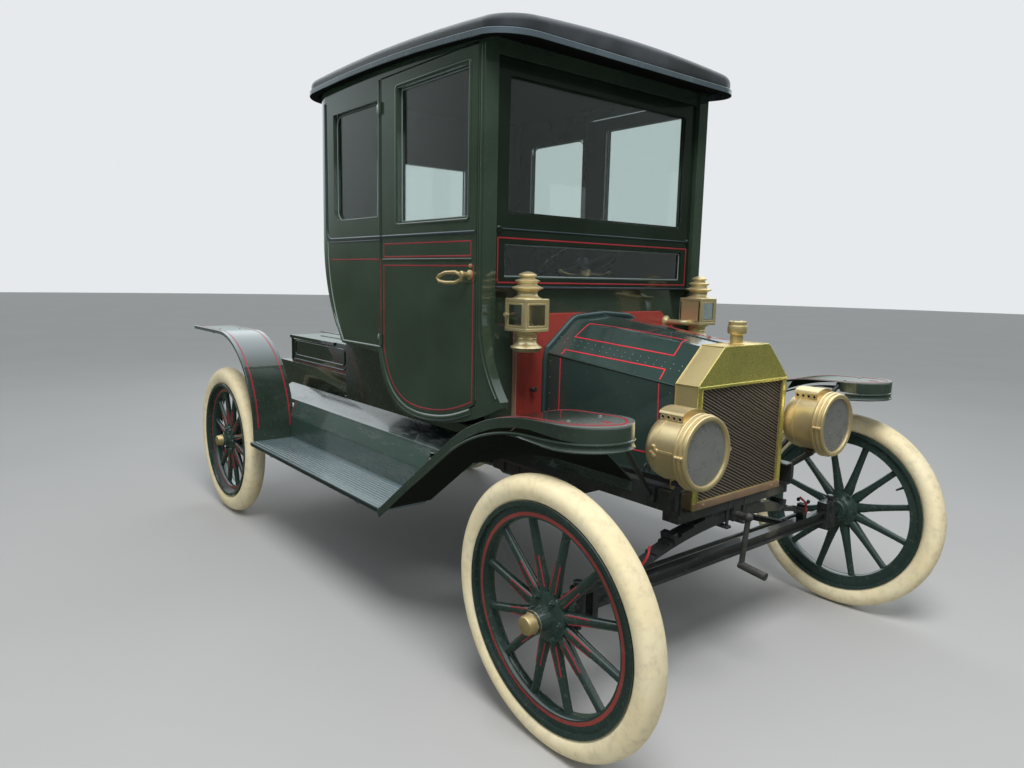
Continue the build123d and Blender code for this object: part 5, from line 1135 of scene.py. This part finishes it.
# hinge lugs and the door's latch on the rim, a seam strip and the stay bosses on the drum
for turn in (0.0, math.pi):
    d = np.array([0.0, math.cos(turn), math.sin(turn)])
    for x in (1.444, 1.4535, 1.463):
        shell.append(turned(mm((0, -4), (5, -4), (5.8, -3), (5.8, 3), (5, 4), (0, 4)),
            at + [x, 0, 0] + 0.1095 * d, AHEAD, 12))
shell.append(swept(oblong(0.0055, 0.0012, 0.001, 2), [at + [1.362, -0.0942, 0],
    at + [1.436, -0.0942, 0]], RIGHT))
for dx, dz, r in ((1.352, 0.012, 0.008), (1.364, 0.002, 0.007), (1.356, -0.012, 0.009), (1.346, -0.004, 0.006)):
    shell.append(turned([(0, -0.004), (r, -0.004), (r, 0.001), (r * 0.75, 0.0045), (r * 0.3, 0.006), (0, 0.0062)],
        at + [dx, -0.0932, dz], RIGHT, 12))
shell.append(turned(mm((0, -105), (20, -105), (20, -98), (12, -92), (12, -80), (0, -80)),
    at + [1.3885, 0, 0], UP, 20))
for x in VENT_X:
    for s in (-1, 1):
        shell.append(turned(mm((4.6, -1), (6.6, -1), (6.6, 0.8), (5.6, 1.4), (4.6, 0.8), (4.6, -1)),
            at + [x, s * 0.047, VENT_Z], (0, s, 0), 16))
pair("headlamp", shell, lamp_brass, "brass", stands_for=("headlamps",))
# each vent hole is a dark disc: painted shade inside the hole
holes = [turned(mm((0, -1), (5.2, -1), (5.2, 0.3), (0, 0.4)), at + [x, s * 0.047, VENT_Z], (0, s, 0), 14)
    for x in VENT_X for s in (-1, 1)]
pair("headlamp_vents", holes, hole_shade, "brass")
pair("headlamp_reflector", [turned(dish, at, AHEAD, 48),
    turned(mm((0, 1381), (6, 1381), (6, 1415), (3.5, 1420), (0, 1421)), at, AHEAD, 12)], silver, "brass")

# Side lamps. Oil lamps on arms from the dash: a square lantern with three panes in brass frames,
# a chimney of flared tiers above and a round oil font below.
font_brass = metal("side_lamp_brass", (0.92, 0.76, 0.44), 0.3, (0.68, 0.55, 0.31), 0.5, 0.0004)
chimney = mm((0, 50), (43.5, 52), (42, 55.5), (34, 60), (30, 66), (29, 72), (30, 77.5), (36, 82), (44.5, 86.5),
    (46, 88.5), (44.5, 90.5), (35, 94.5), (28.5, 98.5), (27.5, 102), (30, 106), (35, 109.5), (36, 111.5),
    (34.5, 113.5), (26, 117), (20.5, 120), (20, 123.5), (23.5, 127), (26.5, 129.5), (25.5, 132), (20, 136),
    (12, 139.5), (5, 141.5), (0, 141.9))
font = mm((0, -50), (40, -53), (38.5, -57), (31, -62), (29, -67), (31, -70), (29, -74), (31, -78), (29, -82),
    (30, -90), (36, -98), (44, -104), (46, -107.5), (44.5, -111), (40, -116), (37, -121), (20, -121.8), (0, -121.9))


def widened(grids, at, share=1.15):
    """The same grids spread level from their middle."""
    return [((grid - at) * [share, share, 1.0] + at, *closed) for grid, *closed in grids]


at = np.array([FX - 0.508, -0.458, 1.141])
faces = np.array([(AHEAD, LEFT), ((-1, 0, 0), RIGHT), (RIGHT, AHEAD)], float)
bits = [turned(chimney, at, UP, 48), turned(font, at, UP, 48)]
for z in (-0.054, 0.042):
    bits.append(plate(oblong(0.046, 0.046, 0.004), at + [0, 0, z], AHEAD, LEFT, 0.012, 0.002))
for sx in (-1, 1):
    for sy in (-1, 1):
        bits.append(swept(oblong(0.005, 0.005, 0.0015, 2), [at + [sx * 0.0405, sy * 0.0405, -0.044],
            at + [sx * 0.0405, sy * 0.0405, 0.044]], AHEAD))
for out, across in faces:
    for half_w, half_h, lift in ((0.0365, 0.04, 0.044), (0.033, 0.0365, 0.0455)):
        ring = oblong(half_w, half_h, 0.002, 2)
        path = at + ring[:, :1] * across + ring[:, 1:] * np.array(UP) + out * (lift - 0.001)
        bits.append(swept(oblong(0.003, 0.0016, 0.0008, 1), path, out, True))
bits.append(plate(oblong(0.04, 0.043, 0.002), at + [0, 0.044 - 0.0015, 0], UP, AHEAD, 0.003))
bits.append(turned(mm((0, -42), (20, -42), (22, -36), (16, -28), (11, -20), (11, -10), (0, -10)), at, UP, 20))
bits.append(turned(mm((0, 0), (4.5, 0), (4.5, 6), (7.5, 8), (7.5, 13), (0, 14)),
    at + [-0.03, -0.044, 0.0], RIGHT, 14))
bits = widened(bits, at)
elbow = -0.372
bits.append(bar(0.011, at + [0, 0.035, -0.045], (FX - 0.508, elbow, 1.096), (FX - 0.6015, elbow, 1.096),
    rounding=0.022, steps=7, sides=14, up=UP))
bits.append(turned(mm((0, 0), (24, 0), (24, 4), (16, 8), (12.5, 14), (0, 14)), (FX - 0.6015, elbow, 1.096), AHEAD,
    24))
pair("side_lamp", bits, font_brass, "brass", stands_for=("side_lamps",))
panes = [plate(oblong(0.035, 0.0385, 0.002), at + out * 0.0405, across, UP, 0.0025, 0.0006)
    for out, across in faces]
pair("side_lamp_panes", widened(panes, at), pane, "glass")

# Seat. A plywood box with a loose spring cushion and a sloping squab, both covered in black hide with
# stitched channels and piped edges; cloth under pressure gives each its crown.
hide = Finish("seat_hide", Roughness=0.42, Coat_Weight=0.15, Coat_Roughness=0.3)
x, y, z = hide.xyz()
channel = abs((y / 0.085 + 100.5).math("FRACT") - 0.5).soft(0.0, 0.07)
creases = hide.noise(30.0, 6.0, rough=0.6)
hide.tint(creases.soft(0.4, 0.75), (0.018, 0.017, 0.016), (0.045, 0.04, 0.036), Roughness=0.36 + 0.25 * creases)
hide.bump(channel * 0.8 + creases * 0.12 + hide.noise(500.0, 3.0) * 0.05, 0.006)


def wood(name, pale, dark, scale, stretch, rough, depth, **sockets):
    """Varnished timber whose grain lies along the axis that stretch divides least."""
    finish = Finish(name, **sockets)
    grain = finish.noise(scale, 5.0, stretch=stretch).soft(0.3, 0.75)
    finish.tint(grain, pale, dark, Roughness=rough + 0.2 * grain)
    return finish.bump(grain, depth)


box_wood = wood("seat_box_wood", (0.03, 0.02, 0.013), (0.06, 0.038, 0.022), 40.0, (1.0, 0.15, 6.0), 0.4, 0.0005,
    Roughness=0.45, Coat_Weight=0.3)
dressed("seat_box", 0.003, box_wood)
VOXEL, SEAT_HALF, SWELL_FRAMES = 0.0085, 0.424, 20


def block(corners):
    """A closed form between a list of rectangular rings of four corners each, bottom to top."""
    rings = np.asarray(corners, float)
    caps = [np.broadcast_to(r.mean(0), r.shape)[None] for r in (rings[0], rings[-1])]
    return np.concatenate([caps[0], rings, caps[1]]), False, True


def padded_piece(name, ring_list, limit, keep_above=None):
    """Remeshes a block, blows it up as cloth for twenty frames and keeps each point within limit."""
    piece = made(name, [block(ring_list)], hide, "seat_leather", crease=60.0)
    mesher = piece.modifiers.new("fine", "REMESH")
    mesher.mode, mesher.voxel_size = "VOXEL", VOXEL
    fine = bpy.data.meshes.new_from_object(piece.evaluated_get(bpy.context.evaluated_depsgraph_get()))
    piece.modifiers.clear()
    piece.data = fine
    start = np.empty(len(fine.vertices) * 3)
    fine.vertices.foreach_get("co", start)
    start = start.reshape(-1, 3)
    cloth = piece.modifiers.new("swell", "CLOTH")
    cloth.settings.use_pressure = True
    cloth.settings.uniform_pressure_force = 4.0
    cloth.settings.effector_weights.gravity = 0.0
    cloth.settings.quality = 5
    cloth.point_cache.frame_start, cloth.point_cache.frame_end = 1, SWELL_FRAMES
    scene = bpy.context.scene
    for step in range(1, SWELL_FRAMES + 1):
        scene.frame_set(step)
    blown = piece.evaluated_get(bpy.context.evaluated_depsgraph_get()).data
    end = np.empty(len(fine.vertices) * 3)
    blown.vertices.foreach_get("co", end)
    piece.modifiers.clear()
    scene.frame_set(1)
    move = end.reshape(-1, 3) - start
    reach = np.linalg.norm(move, axis=1, keepdims=True)
    at = start + move * np.minimum(1.0, limit / np.maximum(reach, 1e-9))
    if keep_above is not None:
        at[:, 2] = np.maximum(at[:, 2], keep_above)
    at[:, 1] = np.clip(at[:, 1], -SEAT_HALF, SEAT_HALF)
    fine.vertices.foreach_set("co", at.reshape(-1))
    fine.update()
    fine.materials.clear()
    fine.materials.append(hide.material)
    fine.shade_smooth()
    finer = piece.modifiers.new("smooth", "SUBSURF")
    finer.levels = finer.render_levels = 1
    return piece


def ring_at(x0, x1, half_y, z):
    """Four corners of one level ring."""
    return [(x0, -half_y, z), (x1, -half_y, z), (x1, half_y, z), (x0, half_y, z)]


cushion = padded_piece("seat_cushion", [ring_at(-0.325, 0.104, 0.408, 0.966), ring_at(-0.325, 0.106, 0.408, 1.065)],
    0.022, keep_above=0.9612)
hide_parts("seat_cushions")
padded_piece("seat_squab", [ring_at(-0.35, -0.27, 0.408, 1.108), ring_at(-0.41, -0.33, 0.408, 1.265),
    ring_at(-0.465, -0.402, 0.408, 1.42)], 0.016)
ring = oblong(0.229, 0.412, 0.03, 5)
piping = np.stack([ring[:, 0] - 0.111, ring[:, 1], np.full(len(ring), 0.9665)], 1)
made("seat_piping", [swept(round_section(0.005, 8), piping, UP, True)], hide, "seat_leather")

# Steering and controls. A wood-rimmed wheel on an iron spider over a sloping column, and two brass
# levers under it.
rim_wood = wood("wheel_rim_wood", (0.03, 0.016, 0.009), (0.075, 0.038, 0.018), 60.0, (1.0, 4.0, 1.0), 0.2, 0.0003,
    Roughness=0.25, Coat_Weight=0.8, Coat_Roughness=0.1)
hub = np.array([FX - 1.02, 0.29, 1.335])
tilt_axis = np.array([-0.4812, 0.0, 0.8766])
turn = np.arange(16) * 2 * math.pi / 16
rim_profile = [(0.19 + 0.0125 * math.cos(t), 0.0105 * math.sin(t)) for t in turn]
rim_profile.append(rim_profile[0])
made("steering_rim", [turned(rim_profile, hub, tilt_axis, 96)], rim_wood, "steering_wood", "steering_wheel",
    ("steering_wheel",))
across = np.array([0.0, 1.0, 0.0])
slope_way = np.cross(tilt_axis, across)
spider = [turned(mm((0, -30), (20, -30), (26, -24), (28, -10), (28, 6), (22, 12), (14, 14), (14, 20), (0, 21)),
    hub, tilt_axis, 32)]
for k in range(4):
    t = math.pi / 4 + k * math.pi / 2
    d = math.cos(t) * across + math.sin(t) * slope_way
    spider.append(bar(0.0075, hub + 0.018 * d - 0.012 * tilt_axis, hub + 0.1 * d - 0.012 * tilt_axis, hub + 0.184 * d,
        rounding=0.05, sides=10, flat=0.7, up=tilt_axis))
made("steering_spider", spider, enamel, "steering_wood", "steering_wheel")
levers = []
for s in (-1, 1):
    low = hub - 0.06 * tilt_axis
    levers.append(bar(0.0042, low, low + s * 0.1 * across - 0.005 * tilt_axis,
        low + s * 0.15 * across + 0.01 * tilt_axis, rounding=0.03, up=tilt_axis))
    levers.append(turned(mm((0, -11), (5, -10), (8.5, -4), (8.5, 4), (5, 10), (0, 11)),
        low + s * 0.15 * across + 0.01 * tilt_axis, across, 14))
levers.append(turned(mm((0, -16), (22, -16), (24, -10), (24, 10), (22, 16), (0, 16)),
    hub - 0.062 * tilt_axis, tilt_axis, 24))
made("steering_levers", levers, brass, "chassis_black")
